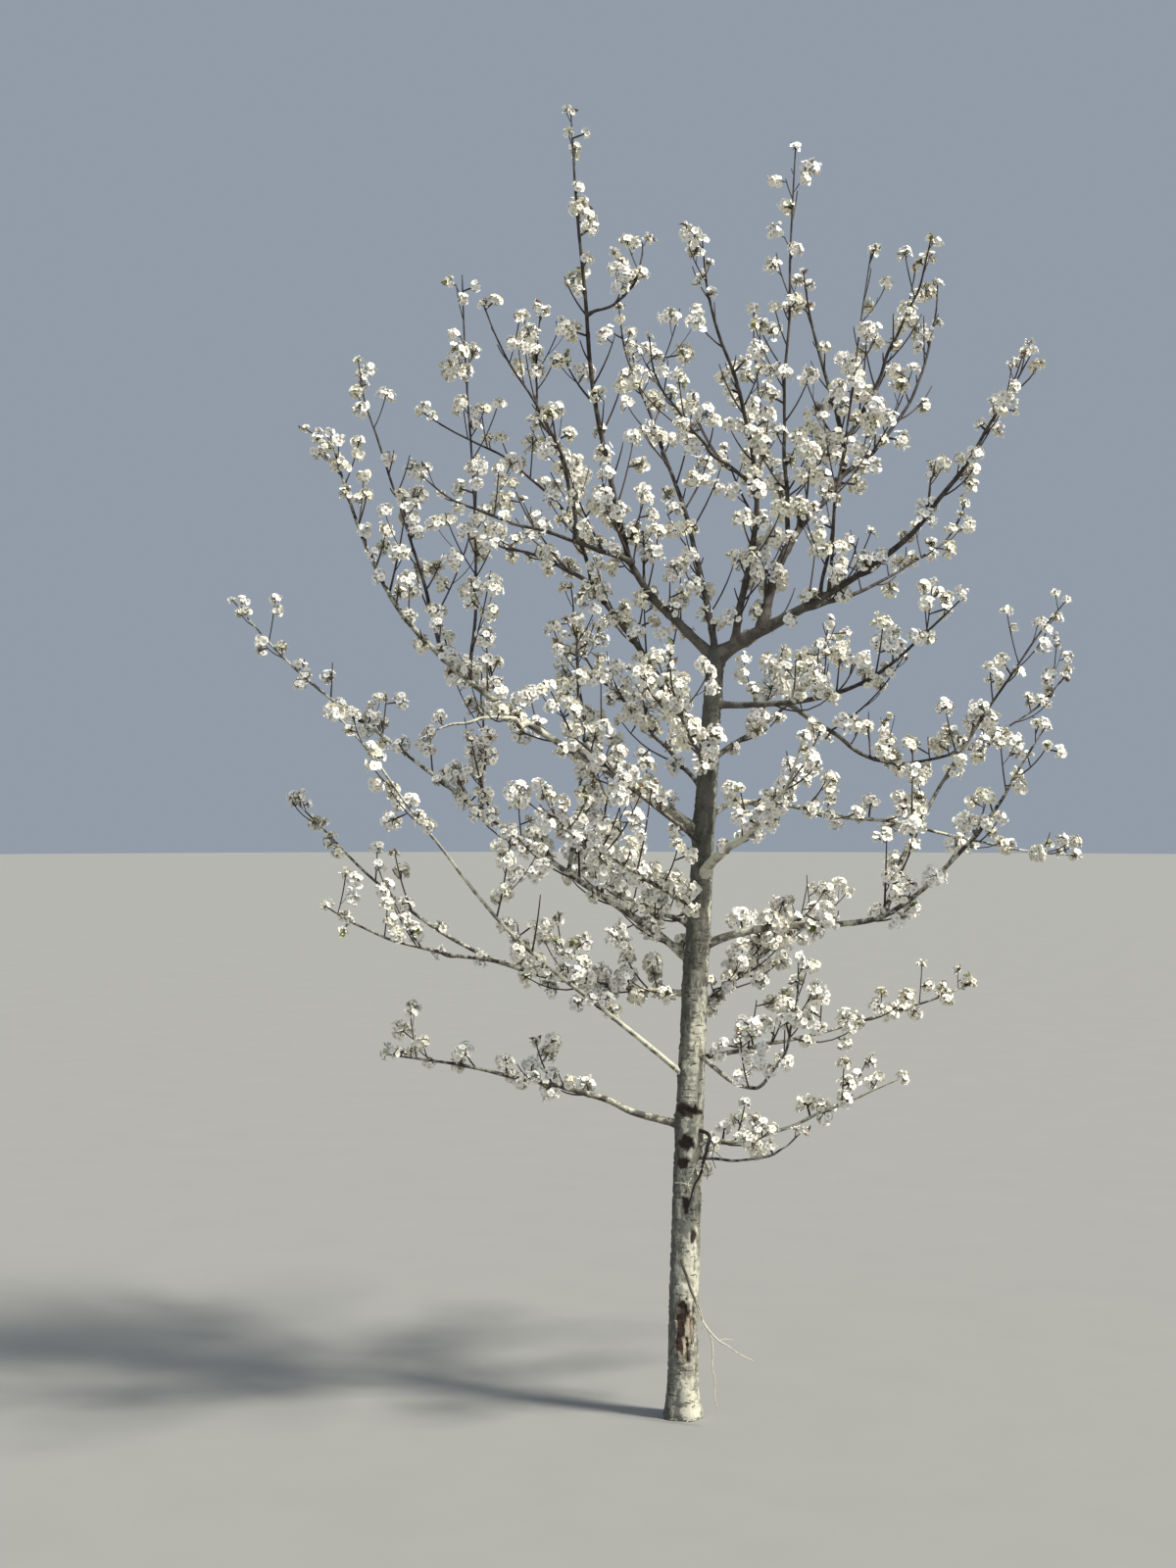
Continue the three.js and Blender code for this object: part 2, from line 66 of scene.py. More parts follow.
bl_info = {
    "name": "Callery Pear in Blossom",
    "version": (1, 0, 0),
    "blender": (4, 5, 0),
    "location": "View3D > Sidebar > Pear Tree",
    "description": "Grows a young pear tree with its bark, twigs and flowers",
    "category": "Object",
}

BODY = "root"
MM = 0.001
TAU = 2 * math.pi
UP = np.array((0.0, 0.0, 1.0))
GOLDEN_ANGLE = math.pi * (3 - math.sqrt(5))

# The trunk
FORK_HEIGHT = 2343
FOOT_RADIUS = 46
FORK_RADIUS = 26
THINNING = 1.8
FLARE = SimpleNamespace(out=16, height=70, ridges=5, ridge=5)
LEAN = SimpleNamespace(across=102, power=1.7)
TRUNK_STEPS = 13
CROWDING = 1.4

# The eye that the limbs' places were read from, and the picture that it saw
EYE = SimpleNamespace(across=-290, up=1935, distance=7200)
PICTURE = SimpleNamespace(height=1600, focal=2400, sensor=36)

# Each limb: what it grows on, where, its rise in degrees at its base and tip, and for some at its knee between
# them, its radius at its base, and its knee and tip as they look against the trunk, with their depth
LIMBS = {
    "right_leader": ("trunk", 2325, (30, 60), 19, (700, 2705, -150), (1071, 3260, -260)),
    "right_leader_fork": ("right_leader", 0.42, (12, 70), 8, (585, 2547, 120), (864, 2790, 440)),
    "thin_upright": ("right_leader", 0.52, (65, 75), 6, (472, 2820, -190), (576, 3555, -60)),
    "hook_leader": ("right_leader", 0.24, (78, 35, 92), 16, (440, 2815, 110), (369, 3500, 330)),
    "tall_whip": ("hook_leader", 0.55, (85, 88), 8, (312, 3010, 60), (345, 3880, 90)),
    "hook_fork": ("hook_leader", 1.3, (50, 75), 8, (630, 3246, 210), (759, 3600, 60)),
    "hook_side": ("hook_leader", 1.1, (30, 82), 8, (690, 3096, 330), (780, 3465, 420)),
    "back_top": ("hook_leader", 0.7, (60, 84), 7, (270, 2900, 450), (216, 3380, 780)),
    "centre_leader": ("right_leader", 0.1, (74, 93), 12, (222, 2900, -170), (60, 3597, -430)),
    "front_leader": ("centre_leader", 0.85, (50, 80), 7, (60, 2976, -360), (-102, 3300, -680)),
    "left_leader": ("trunk", 2320, (42, 86), 16, (-172, 2645, 20), (-342, 3985, -100)),
    "left_leader_fork": ("left_leader", 1.55, (30, 80), 5, (-171, 3435, -90), (-123, 3588, -60)),
    "left_leader_side": ("left_leader", 0.9, (20, 35), 9, (-330, 2676, -160), (-795, 2874, -520)),
    "upright_left": ("left_leader_side", 0.95, (85, 70), 7, (-378, 2952, -200), (-609, 3399, -330)),
    "upright_left_twin": ("upright_left", 0.75, (75, 89), 5, (-444, 3081, -110), (-435, 3372, -60)),
    "back_leader": ("trunk", 2330, (68, 82), 11, (-21, 2859, 300), (-195, 3390, 700)),
    "upper_left": ("trunk", 2055, (42, 25), 13, (-291, 2550, 230), (-612, 2688, 620)),
    "upper_left_fork": ("upper_left", 0.97, (75, 30), 7, (-402, 2814, 110), (-800, 3075, 60)),
    "upper_right": ("trunk", 2180, (0, 45), 11, (480, 2215, -200), (852, 2500, -320)),
    "upper_right_fork": ("upper_right", 0.6, (-28, 42), 8, (690, 2000, 120), (1167, 2262, 560)),
    "front_middle": ("trunk", 1960, (40, 65), 8, (20, 2080, -330), (-40, 2330, -800)),
    "back_right_middle": ("trunk", 1990, (30, 55), 9, (290, 2150, 430), (450, 2440, 1080)),
    "back_left_middle": ("trunk", 1900, (35, 60), 8, (-120, 2120, 420), (-330, 2420, 980)),
    "long_left": ("trunk", 1780, (38, 74), 14, (-790, 2375, -180), (-1080, 3006, -280)),
    "long_left_upright": ("long_left", 0.45, (80, 88), 5, (-321, 2265, -30), (-342, 2535, -30)),
    "drooping_stub": ("long_left", 0.62, (-50, -15), 7, (-540, 2140, -240), (-747, 2103, -300)),
    "left_whip": ("long_left", 0.82, (75, 89), 6, (-636, 2600, -90), (-675, 3486, -150)),
    "left_fork": ("long_left", 0.93, (60, 80), 7, (-825, 2660, 30), (-993, 3230, 150)),
    "level_right": ("trunk", 1825, (42, -4), 10, (501, 1836, 220), (1200, 1716, 600)),
    "sunlit_left": ("trunk", 1737, (42, 60), 8, (-171, 1932, -260), (-411, 2235, -620)),
    "front_right": ("trunk", 1645, (45, 60), 12, (207, 1790, -330), (369, 2080, -800)),
    "far_left": ("trunk", 1380, (40, 50), 13, (-600, 1845, 170), (-1377, 2496, 500)),
    "far_left_upright": ("far_left", 0.45, (75, 88), 5, (-240, 1773, 60), (-231, 1950, 20)),
    "far_left_tall": ("far_left", 0.6, (75, 90), 6, (-306, 2016, 210), (-321, 2385, 190)),
    "far_left_whip": ("far_left", 1.02, (80, 88), 5, (-606, 2049, 190), (-618, 2295, 150)),
    "far_right": ("trunk", 1434, (33, 45, 55), 13, (735, 1605, -170), (1110, 2110, -480)),
    "far_right_fork": ("far_right", 0.8, (60, 50), 9, (783, 1920, 60), (1173, 2496, 130)),
    "front_left": ("trunk", 1530, (30, 50), 9, (-190, 1690, -430), (-440, 1930, -950)),
    "back_left_low": ("trunk", 1460, (32, 48), 9, (-190, 1600, 440), (-400, 1870, 1050)),
    "low_left": ("trunk", 1290, (4, 42), 10, (-645, 1425, 60), (-1194, 1890, 140)),
    "low_left_fork": ("low_left", 0.85, (10, 25), 6, (-891, 1455, -250), (-1092, 1560, -500)),
    "back_right_low": ("trunk", 1220, (28, 45), 9, (230, 1390, 400), (430, 1620, 1000)),
    "drooping_right": ("trunk", 1120, (-20, 84), 8, (237, 1011, -190), (354, 1400, -520)),
    "low_right": ("trunk", 1080, (22, 20), 9, (318, 1149, 90), (885, 1326, 320)),
    "crossing_left": ("trunk", 1026, (40, 44), 9, (-528, 1482, -290), (-1062, 2151, -620)),
    "lowest_left": ("trunk", 885, (14, 10), 12, (-400, 1015, -80), (-906, 1107, -250)),
    "lowest_right": ("trunk", 846, (-8, 22), 9, (258, 864, -40), (669, 1035, -230)),
    "lowest_spur": ("trunk", 800, (-5, 45), 5, (246, 792, -170), (369, 873, -240)),
}
TIP_RADIUS = 2.4
KINK = 5
THINNING_OUT = 0.75
LIMB_STEPS = 5
BOUGH_STEPS = 2
SHOOT = SimpleNamespace(
    spacing=370, length=400, least=0.4, shorter=0.6, cut=0.75, shortest=90,
    forwards=0.5, sideways=0.8, upwards=0.5, turning=1, thinner=0.45, tip=1.9, room=16, tests=6,
)
PLACING = SimpleNamespace(start=0.3, spread=0.5)
SPACE = 1
GENERATOR = SimpleNamespace(factor=16807, modulus=2147483647, step=7919, start=104729)
SEEDS = SimpleNamespace(each=100, finer=10000)
NEARLY_UPRIGHT = 0.01

# What is finer than the solids: short twigs on limbs and shoots, and spurs that carry the clusters
TWIGLET = SimpleNamespace(
    spacing=60, sparser=0.2, shortest=50, longest=330, power=1.6, shorter=0.6, last=25, left=0.8,
    thinner=0.55, thickest=3.3, tip=1.8, full=0.95, less_full=0.5, budded=0.3, more_budded=0.25,
)
SPUR = SimpleNamespace(
    spacing=95, least=0.35, spread=2.0, power=2, shortest=8, longest=52, favour=1.6, root=3.1, thinner=0.8,
    tip=2.3, swell=0.4, lifted=0.32, forwards=0.3, stray=0.9, at_tip=0.35, high=0.8,
)
CLUSTER = SimpleNamespace(
    smallest=17, largest=34, tip_size=0.5, apart=0.95, off_trunk=12, flowers=0.55, spread=math.radians(118),
    end_spur=2.0, end_lift=0.2,
)

# Where twigs and clusters start, as a share of what carries them
STARTS = SimpleNamespace(fork=0.1, shoot_twigs=0.2, shoot_clusters=0.15, twig_clusters=0.45)

# Limbs that end without a cluster
BARE_TIPS = ("left_leader_fork", "left_whip", "drooping_stub", "thin_upright")

# How far along its line a limb's twigs and blossom start: any limb on the trunk, then those that differ
FOOT = 150
FEET = {
    "right_leader": 90, "hook_leader": 50, "centre_leader": 50, "left_leader": 90, "back_leader": 60,
    "tall_whip": 160, "thin_upright": 260, "left_leader_fork": 80, "upright_left": 120, "left_whip": 260,
    "long_left_upright": 130, "far_left_tall": 190, "front_middle": 60, "sunlit_left": 110, "front_right": 200,
    "front_left": 75, "back_left_low": 75, "far_left": 60, "low_left": 80, "back_right_low": 70, "low_right": 80,
    "drooping_right": 400, "crossing_left": 340, "lowest_left": 330, "lowest_right": 60, "lowest_spur": 60,
}

# How far apart blossom and twigs sit on a limb near its start and further out, 1 being the common way. NEAR is
# the stretch in which the one turns into the other.
APART = {
    "right_leader": (0.7, 1.0), "hook_leader": (0.6, 1.0), "centre_leader": (0.6, 1.0), "left_leader": (0.7, 1.0),
    "back_leader": (0.6, 1.0), "upright_left": (1.3, 1.1), "upper_left": (0.8, 1.0),
    "upper_right_fork": (1.3, 1.2), "back_right_middle": (1.7, 1.4), "back_left_middle": (1.3, 1.0),
    "long_left": (1.3, 1.0), "drooping_stub": (3.0, 3.0), "left_fork": (1.2, 1.1), "level_right": (1.1, 1.9),
    "sunlit_left": (1.9, 1.4), "front_right": (1.6, 1.4), "far_left": (1.1, 1.15), "far_right": (1.1, 2.1),
    "far_right_fork": (2.0, 1.1), "front_left": (1.3, 1.3), "back_left_low": (1.2, 0.9), "low_left": (0.45, 2.4),
    "low_left_fork": (2.4, 2.4), "back_right_low": (0.65, 0.9), "drooping_right": (1.2, 1.2),
    "low_right": (1.3, 1.1), "crossing_left": (1.0, 1.3), "lowest_left": (1.2, 0.8), "lowest_right": (0.7, 2.2),
    "lowest_spur": (2.5, 2.5),
}
NEAR = (300, 620)

# Between these heights the crown opens up
HIGH = (2000, 2550)

# Where a limb is bare again further out, from and to
BARE = {
    "low_left": (560, 820), "crossing_left": (700, 1200), "lowest_left": (600, 680), "lowest_right": (190, 390),
    "lowest_spur": (60, 260),
}


def unit(vectors):
    """The same directions, one unit long."""
    return vectors / np.linalg.norm(vectors, axis=-1, keepdims=True)


def smooth(low, high, value):
    """0 below low, 1 above high, and an even swing between them."""
    share = np.clip((value - low) / (high - low), 0, 1)
    return share * share * (3 - 2 * share)


def between(low, high, share):
    """A value at a share of the way from low to high."""
    return low + (high - low) * share


def high_up(height):
    """0 in the low crown, 1 in the high one."""
    return smooth(*HIGH, height)


def seeded(seed):
    """The same draws from the same seed, as the solids have."""
    state = (seed * GENERATOR.step + GENERATOR.start) % GENERATOR.modulus

    def draw():
        nonlocal state
        state = state * GENERATOR.factor % GENERATOR.modulus
        return state / GENERATOR.modulus

    return draw


def seen(place):
    """A place as it looks against the trunk, moved along its sight line to its depth."""
    across, up, depth = place
    spread = 1 + depth / EYE.distance
    return np.array((EYE.across + (across - EYE.across) * spread, depth, EYE.up + (up - EYE.up) * spread))


def heading(start, end, rise):
    """The direction from one place towards another, with a rise of its own in degrees."""
    level = unit((end - start) * (1, 1, 0))
    return level * math.cos(math.radians(rise)) + UP * math.sin(math.radians(rise))


def sweep(start, leaving, end, arriving):
    """Points on a curve that leaves one place in one direction and reaches another in its own."""
    handle = np.linalg.norm(end - start) / 3
    t = np.linspace(0, 1, LIMB_STEPS + 1)[:, None]
    first, last = start + leaving * handle, end - arriving * handle
    return (1 - t) ** 3 * start + 3 * (1 - t) ** 2 * t * first + 3 * (1 - t) * t ** 2 * last + t ** 3 * end


def crossways(direction):
    """Directions across a line: one level, and one that rises as far as the line allows."""
    level = np.cross(direction, UP)
    if level @ level < NEARLY_UPRIGHT:
        level = np.array((1.0, 0.0, 0.0))
    level = unit(level)
    return level, unit(np.cross(level, direction))


def outwards(direction, turn):
    """A direction away from a line, at a turn round it."""
    level, rising = crossways(direction)
    return level * math.cos(turn) + rising * math.sin(turn)


def trunk_radius(height):
    share = np.asarray(height) / FORK_HEIGHT
    flare = FLARE.out * np.exp(-np.asarray(height) / FLARE.height)
    return FOOT_RADIUS + (FORK_RADIUS - FOOT_RADIUS) * share ** THINNING + flare


def trunk_centre(height):
    height = np.asarray(height, float)
    across = LEAN.across * (height / FORK_HEIGHT) ** LEAN.power
    return np.stack((across, np.zeros_like(height), height), axis=-1)


class Line:
    """The centre line of a limb or twig, its radius at each point, and what else is known of it."""

    def __init__(self, points, radii, full=None, bare=(0, 0), apart=(1, 1), budded=False, **facts):
        self.full, self.bare, self.apart, self.budded = full, bare, apart, budded
        self.points = np.asarray(points, float)
        self.radii = np.asarray(radii, float)
        self.reach = np.concatenate(([0], np.cumsum(np.linalg.norm(np.diff(self.points, axis=0), axis=1))))
        self.length = self.reach[-1]
        self.__dict__.update(facts)

    def at(self, share):
        """The place at a share of the line's steps, with the line's direction and radius there."""
        place = share * (len(self.points) - 1)
        i = min(int(place), len(self.points) - 2)
        left, right = self.points[i], self.points[i + 1]
        radius = between(self.radii[i], self.radii[i + 1], place - i)
        return between(left, right, place - i), unit(right - left), radius

    def is_bare(self, reach):
        """Whether nothing grows on the line so far from its start."""
        return self.bare[0] < reach < self.bare[1]

    def apart_at(self, reach):
        """How far apart its twigs and clusters sit, so far from its start."""
        return between(*self.apart, smooth(*NEAR, reach))

    def nearest(self, place, steps=None):
        """How far a place is from the line's first steps, and the radius where the nearest one starts."""
        starts = self.points[:-1][:steps]
        runs = (self.points[1:] - self.points[:-1])[:steps]
        share = np.clip(((place - starts) * runs).sum(1) / (runs * runs).sum(1), 0, 1)
        distance = np.linalg.norm(starts + runs * share[:, None] - place, axis=1)
        i = int(distance.argmin())
        return distance[i], self.radii[i]

    def smoothed(self, spacing):
        """The same line through the same points, curved, with points about that far apart."""
        slopes = np.gradient(self.points, axis=0)
        points, radii = [self.points[0]], [self.radii[0]]
        for i in range(len(self.points) - 1):
            count = max(1, round((self.reach[i + 1] - self.reach[i]) / spacing))
            for t in np.arange(1, count + 1) / count:
                points.append(
                    (1 + 2 * t) * (1 - t) ** 2 * self.points[i] + t * (1 - t) ** 2 * slopes[i]
                    + t ** 2 * (3 - 2 * t) * self.points[i + 1] - t ** 2 * (1 - t) * slopes[i + 1]
                )
                radii.append(between(self.radii[i], self.radii[i + 1], t))
        return Line(points, radii)


def limb_line(seed, row, start, **facts):
    """A limb's line through its base, knee and tip, and its radius at each point."""
    _, _, (leaves, *through, ends), thick, knee, tip = row
    knee, tip = seen(knee), seen(tip)
    passing = heading(start, knee, *through) if through else unit(tip - start)
    lower = sweep(start, heading(start, knee, leaves), knee, passing)
    upper = sweep(knee, passing, tip, heading(knee, tip, ends))
    points = np.concatenate((lower, upper[1:]))
    draw = seeded(seed)
    for i in range(len(points)):
        stray = np.array((draw() - 0.5, draw() - 0.5, draw() - 0.5))
        if 0 < i < len(points) - 1:
            points[i] += 2 * KINK * stray
    left = 1 - np.arange(len(points)) / (len(points) - 1)
    return Line(points, between(TIP_RADIUS, thick, left ** THINNING_OUT), seed=seed, **facts)


@functools.cache
def limbs():
    """Every limb's line by name, worked out parent first. Limbs of one mass share its name."""
    found = {}
    for seed, (name, row) in enumerate(LIMBS.items(), 1):
        parent, at = found.get(row[0]), row[1]
        start = parent.at(at / 2)[0] if parent else trunk_centre(at)
        has_bough = parent is None or at * LIMB_STEPS < BOUGH_STEPS
        found[name] = limb_line(
            seed, row, start, name=name, parent=parent, has_bough=has_bough, thick=row[3],
            mass=name if has_bough else parent.mass, stem_from=BOUGH_STEPS if has_bough else 0,
        )
    return found


@functools.cache
def trunk_line():
    heights = FORK_HEIGHT * np.linspace(0, 1, TRUNK_STEPS + 1) ** CROWDING
    return Line(trunk_centre(heights), trunk_radius(heights))


def has_room(place, radius, mass):
    """Whether a piece keeps to its own mass's space, off the trunk and the boughs."""
    solid = [trunk_line().nearest(place)]
    solid += [limb.nearest(place, BOUGH_STEPS) for limb in limbs().values() if limb.has_bough]
    if any(distance <= found + radius + SPACE for distance, found in solid):
        return False
    reach = {limb: limb.nearest(place)[0] for limb in limbs().values()}
    own = min(distance for limb, distance in reach.items() if limb.mass == mass)
    others = min(distance for limb, distance in reach.items() if limb.mass != mass)
    return others - own > 2 * radius + SPACE


def bend(curve, shares):
    """Points on the curve that leaves one place, turns at a second and ends at a third."""
    t = np.asarray(shares)[:, None]
    start, turn, end = curve
    return (1 - t) ** 2 * start + 2 * (1 - t) * t * turn + t ** 2 * end


def shoot_curve(base, direction, turn, length):
    """One shoot: it leaves sideways and forwards, then turns up."""
    leaving = direction * SHOOT.forwards + outwards(direction, turn) * SHOOT.sideways + UP * SHOOT.upwards
    leaving = unit(leaving)
    middle = base + leaving * length / 2
    return base, middle, middle + unit(leaving + UP * SHOOT.turning) * length / 2


def shoots_of(limb):
    """The shoots of a limb's twiggy part, the same ones as the solids have."""
    stem = Line(limb.points[limb.stem_from:], limb.radii[limb.stem_from:])
    count = round(stem.length / SHOOT.spacing)
    tests = np.linspace(0, 1, SHOOT.tests + 1)[1:]
    shoots = []
    for k in range(count):
        draw = seeded(SEEDS.each * limb.seed + k)
        share = (k + PLACING.start + PLACING.spread * draw()) / count
        turn = k * GOLDEN_ANGLE + draw()
        point, direction, _ = stem.at(share)
        drawn = SHOOT.least + (1 - SHOOT.least) * draw()
        length = SHOOT.length * drawn * (1 - SHOOT.shorter * share)
        while length > SHOOT.shortest:
            curve = shoot_curve(point, direction, turn, length)
            if all(has_room(place, SHOOT.room, limb.mass) for place in bend(curve, tests)):
                shoots.append((curve, SHOOT.thinner * limb.nearest(point)[1]))
                break
            length *= SHOOT.cut
    return shoots


def bent_line(curve, root, tip, steps, **facts):
    """A shoot's or twig's line along its curve."""
    shares = np.linspace(0, 1, steps + 1)
    return Line(bend(curve, shares), between(root, tip, shares), **facts)


def twiglets_of(line, first, seed):
    """Short twigs to all sides of a line, from a share of it on."""
    twigs, reach, k = [], first * line.length, 0
    while True:
        draw = seeded(seed + k)
        k += 1
        apart, high = line.apart_at(reach), high_up(line.points[0][2])
        gap = TWIGLET.spacing * apart * (1 + TWIGLET.sparser * high)
        share = (reach + gap * draw()) / line.length
        reach += gap
        if share >= 1:
            return twigs
        if line.is_bare(share * line.length):
            continue
        point, direction, radius = line.at(share)
        length = between(TWIGLET.shortest, TWIGLET.longest, draw() ** TWIGLET.power)
        allowed = TWIGLET.last + TWIGLET.left * (1 - share) * line.length
        length = min(length * (1 - TWIGLET.shorter * share), allowed)
        curve = shoot_curve(point, direction, (k + 0.5) * GOLDEN_ANGLE + 2 * draw(), length)
        root = min(TWIGLET.thickest, TWIGLET.thinner * radius)
        budded = draw() < TWIGLET.budded + TWIGLET.more_budded * high
        full = TWIGLET.full - TWIGLET.less_full * smooth(0.6, 1, share)
        facts = {"budded": budded, "full": full, "apart": (apart, apart)}
        twigs.append(bent_line(curve, root, min(root, TWIGLET.tip), TWIG_RINGS - 1, **facts))


def fullness(line, share):
    """How large the clusters are there, 1 being full: limbs and shoots end in small young ones."""
    if line.full is not None:
        return line.full
    return 1 - (1 - CLUSTER.tip_size) * smooth(0.55, 0.95, share)


def cluster_size(line, share, drawn):
    return fullness(line, share) * between(CLUSTER.smallest, CLUSTER.largest, drawn)


class Clusters:
    """The flower clusters and the spurs that carry them, kept apart from each other and off the trunk."""

    def __init__(self):
        self.centres = np.empty((0, 3))
        self.sizes = np.empty(0)
        self.rows = []

    def add(self, base, facing, spur, size, root):
        """A cluster on a spur, unless it would sit in another one or on the trunk."""
        centre = base + facing * (spur + size / 2)
        distance, radius = trunk_line().nearest(centre)
        if distance < radius + CLUSTER.off_trunk:
            return False
        apart = np.linalg.norm(self.centres - centre, axis=1)
        if np.any(apart < CLUSTER.apart * (self.sizes + size)):
            return False
        self.centres = np.vstack((self.centres, centre))
        self.sizes = np.append(self.sizes, size)
        self.rows.append(SimpleNamespace(base=base, facing=facing, spur=spur, size=size, root=root))
        return True

    def along(self, line, first, seed):
        """Clusters by turns to all sides of a line, smaller towards its tip, and one at its end."""
        draw = seeded(seed)
        turn = TAU * draw()
        reach = first * line.length + SPUR.high * SPUR.spacing * high_up(line.points[0][2]) * turn / TAU
        nodes = []
        while reach < line.length:
            if line.is_bare(reach):
                reach = line.bare[1]
                continue
            share = reach / line.length
            point, direction, radius = line.at(share)
            turn += GOLDEN_ANGLE + SPUR.stray * (draw() - 0.5)
            facing = unit(outwards(direction, turn) + UP * SPUR.lifted + direction * SPUR.forwards * draw())
            size = cluster_size(line, share, draw())
            spur = between(SPUR.shortest, SPUR.longest, draw() ** SPUR.favour)
            root = min(SPUR.root, SPUR.thinner * radius)
            if self.add(point + facing * radius * 0.5, facing, spur, size, root):
                nodes.append(reach)
            gap = SPUR.least + SPUR.spread * draw() ** SPUR.power
            gap *= line.apart_at(reach) + SPUR.at_tip * smooth(0.55, 1, share) + SPUR.high * high_up(point[2])
            reach += SPUR.spacing * gap
        return nodes

    def at_end(self, line, seed):
        """The cluster that a line ends in."""
        point, direction, radius = line.at(1)
        size = cluster_size(line, 1, seeded(seed)())
        return self.add(point, unit(direction + CLUSTER.end_lift * UP), CLUSTER.end_spur, size, radius)


@functools.cache
def growth():
    """The whole tree finer than its limbs: shoots, twigs, clusters, and the ends that stay bare."""
    clusters, shoots, twigs, ends = Clusters(), [], [], []
    seed = SEEDS.finer
    for limb in limbs().values():
        limb.fine = limb.smoothed(LIMB_SPACING)
        limb.fine.bare, limb.fine.apart = BARE.get(limb.name, (0, 0)), APART.get(limb.name, (1, 1))
        own_shoots = [
            bent_line(curve, root, SHOOT.tip, SHOOT_RINGS - 1, apart=(limb.fine.apart[1],) * 2)
            for curve, root in shoots_of(limb)
        ]
        foot = FEET.get(limb.name, FOOT if limb.parent is None else STARTS.fork * limb.fine.length)
        first = foot / limb.fine.length
        own_twigs = twiglets_of(limb.fine, first, seed)
        for shoot in own_shoots:
            seed += SEEDS.each
            own_twigs += twiglets_of(shoot, STARTS.shoot_twigs, seed)
        ended = limb.name not in BARE_TIPS and clusters.at_end(limb.fine, seed)
        for twig in own_twigs + own_shoots:
            seed += 1
            if not (twig.budded or clusters.at_end(twig, seed)):
                ends.append(twig)
        if not ended:
            ends.append(limb.fine)
        limb.nodes = clusters.along(limb.fine, first, seed + 50)
        for shoot in own_shoots:
            seed += 1
            clusters.along(shoot, STARTS.shoot_clusters, seed + SEEDS.each)
        for twig in own_twigs:
            seed += 1
            clusters.along(twig, STARTS.twig_clusters, seed + SEEDS.each)
        seed += SEEDS.each
        shoots += own_shoots
        twigs += own_twigs
    return SimpleNamespace(clusters=clusters.rows, shoots=shoots, twigs=twigs, ends=ends)


# How finely the meshes are made
TRUNK_SPACING, TRUNK_SIDES = 5.0, 76
LIMB_SPACING, LIMB_SIDES, THIN_LIMB_SIDES, THIN_LIMB = 9.0, 12, 7, 11
SHOOT_RINGS, SHOOT_SIDES = 12, 6
TWIG_RINGS, TWIG_SIDES = 6, 5
SPUR_RINGS, SPUR_SIDES = 4, 4
STALK_SIDES = 3


class Form:
    """A small mesh made once: its vertices, and its faces as triangles."""

    def __init__(self, bm):
        bmesh.ops.triangulate(bm, faces=bm.faces)
        bm.verts.index_update()
        self.vertices = np.array([vertex.co for vertex in bm.verts])
        self.faces = np.array([[vertex.index for vertex in face.verts] for face in bm.faces])
        bm.free()


@functools.cache
def tube(sides, rings):
    """A closed cylinder of even rings, for laying along a line. It knows each vertex's ring and angle."""
    bm = bmesh.new()
    bmesh.ops.create_cone(bm, cap_ends=True, segments=sides, radius1=1, radius2=1, depth=1)
    risers = [edge for edge in bm.edges if abs(edge.verts[0].co.z - edge.verts[1].co.z) > 0.5]
    bmesh.ops.subdivide_edges(bm, edges=risers, cuts=rings - 2)
    form = Form(bm)
    form.ring = np.round((form.vertices[:, 2] + 0.5) * (rings - 1)).astype(int)
    form.angle = np.arctan2(form.vertices[:, 1], form.vertices[:, 0])
    return form


def laid(form, centres, radii):
    """A tube's vertices along lines. centres is lines x rings x 3, and radii is lines x vertices."""
    along = unit(np.gradient(centres, axis=1))
    level = np.cross(unit(centres[:, -1] - centres[:, 0]), UP)
    level[(level * level).sum(1) < NEARLY_UPRIGHT] = (1, 0, 0)
    level = level[:, None, :] - along * (along * level[:, None, :]).sum(2, keepdims=True)
    level = unit(level)
    other = np.cross(along, level)
    x, y = radii * form.vertices[:, 0], radii * form.vertices[:, 1]
    ring = form.ring
    return centres[:, ring] + x[:, :, None] * level[:, ring] + y[:, :, None] * other[:, ring]


def copies(form, origins, xs, ys, zs):
    """A form's vertices in many frames at once, each with its own scaled directions."""
    turned = (form.vertices[None, :, i, None] * axes[:, None, :] for i, axes in enumerate((xs, ys, zs)))
    return origins[:, None, :] + sum(turned)


def frames(normals, spins):
    """Two directions across each of many normals, turned about it by an angle."""
    side = np.cross(normals, UP)
    side[(side * side).sum(1) < NEARLY_UPRIGHT] = (1, 0, 0)
    side = unit(side)
    other = np.cross(normals, side)
    cos, sin = np.cos(spins)[:, None], np.sin(spins)[:, None]
    return side * cos + other * sin, other * cos - side * sin


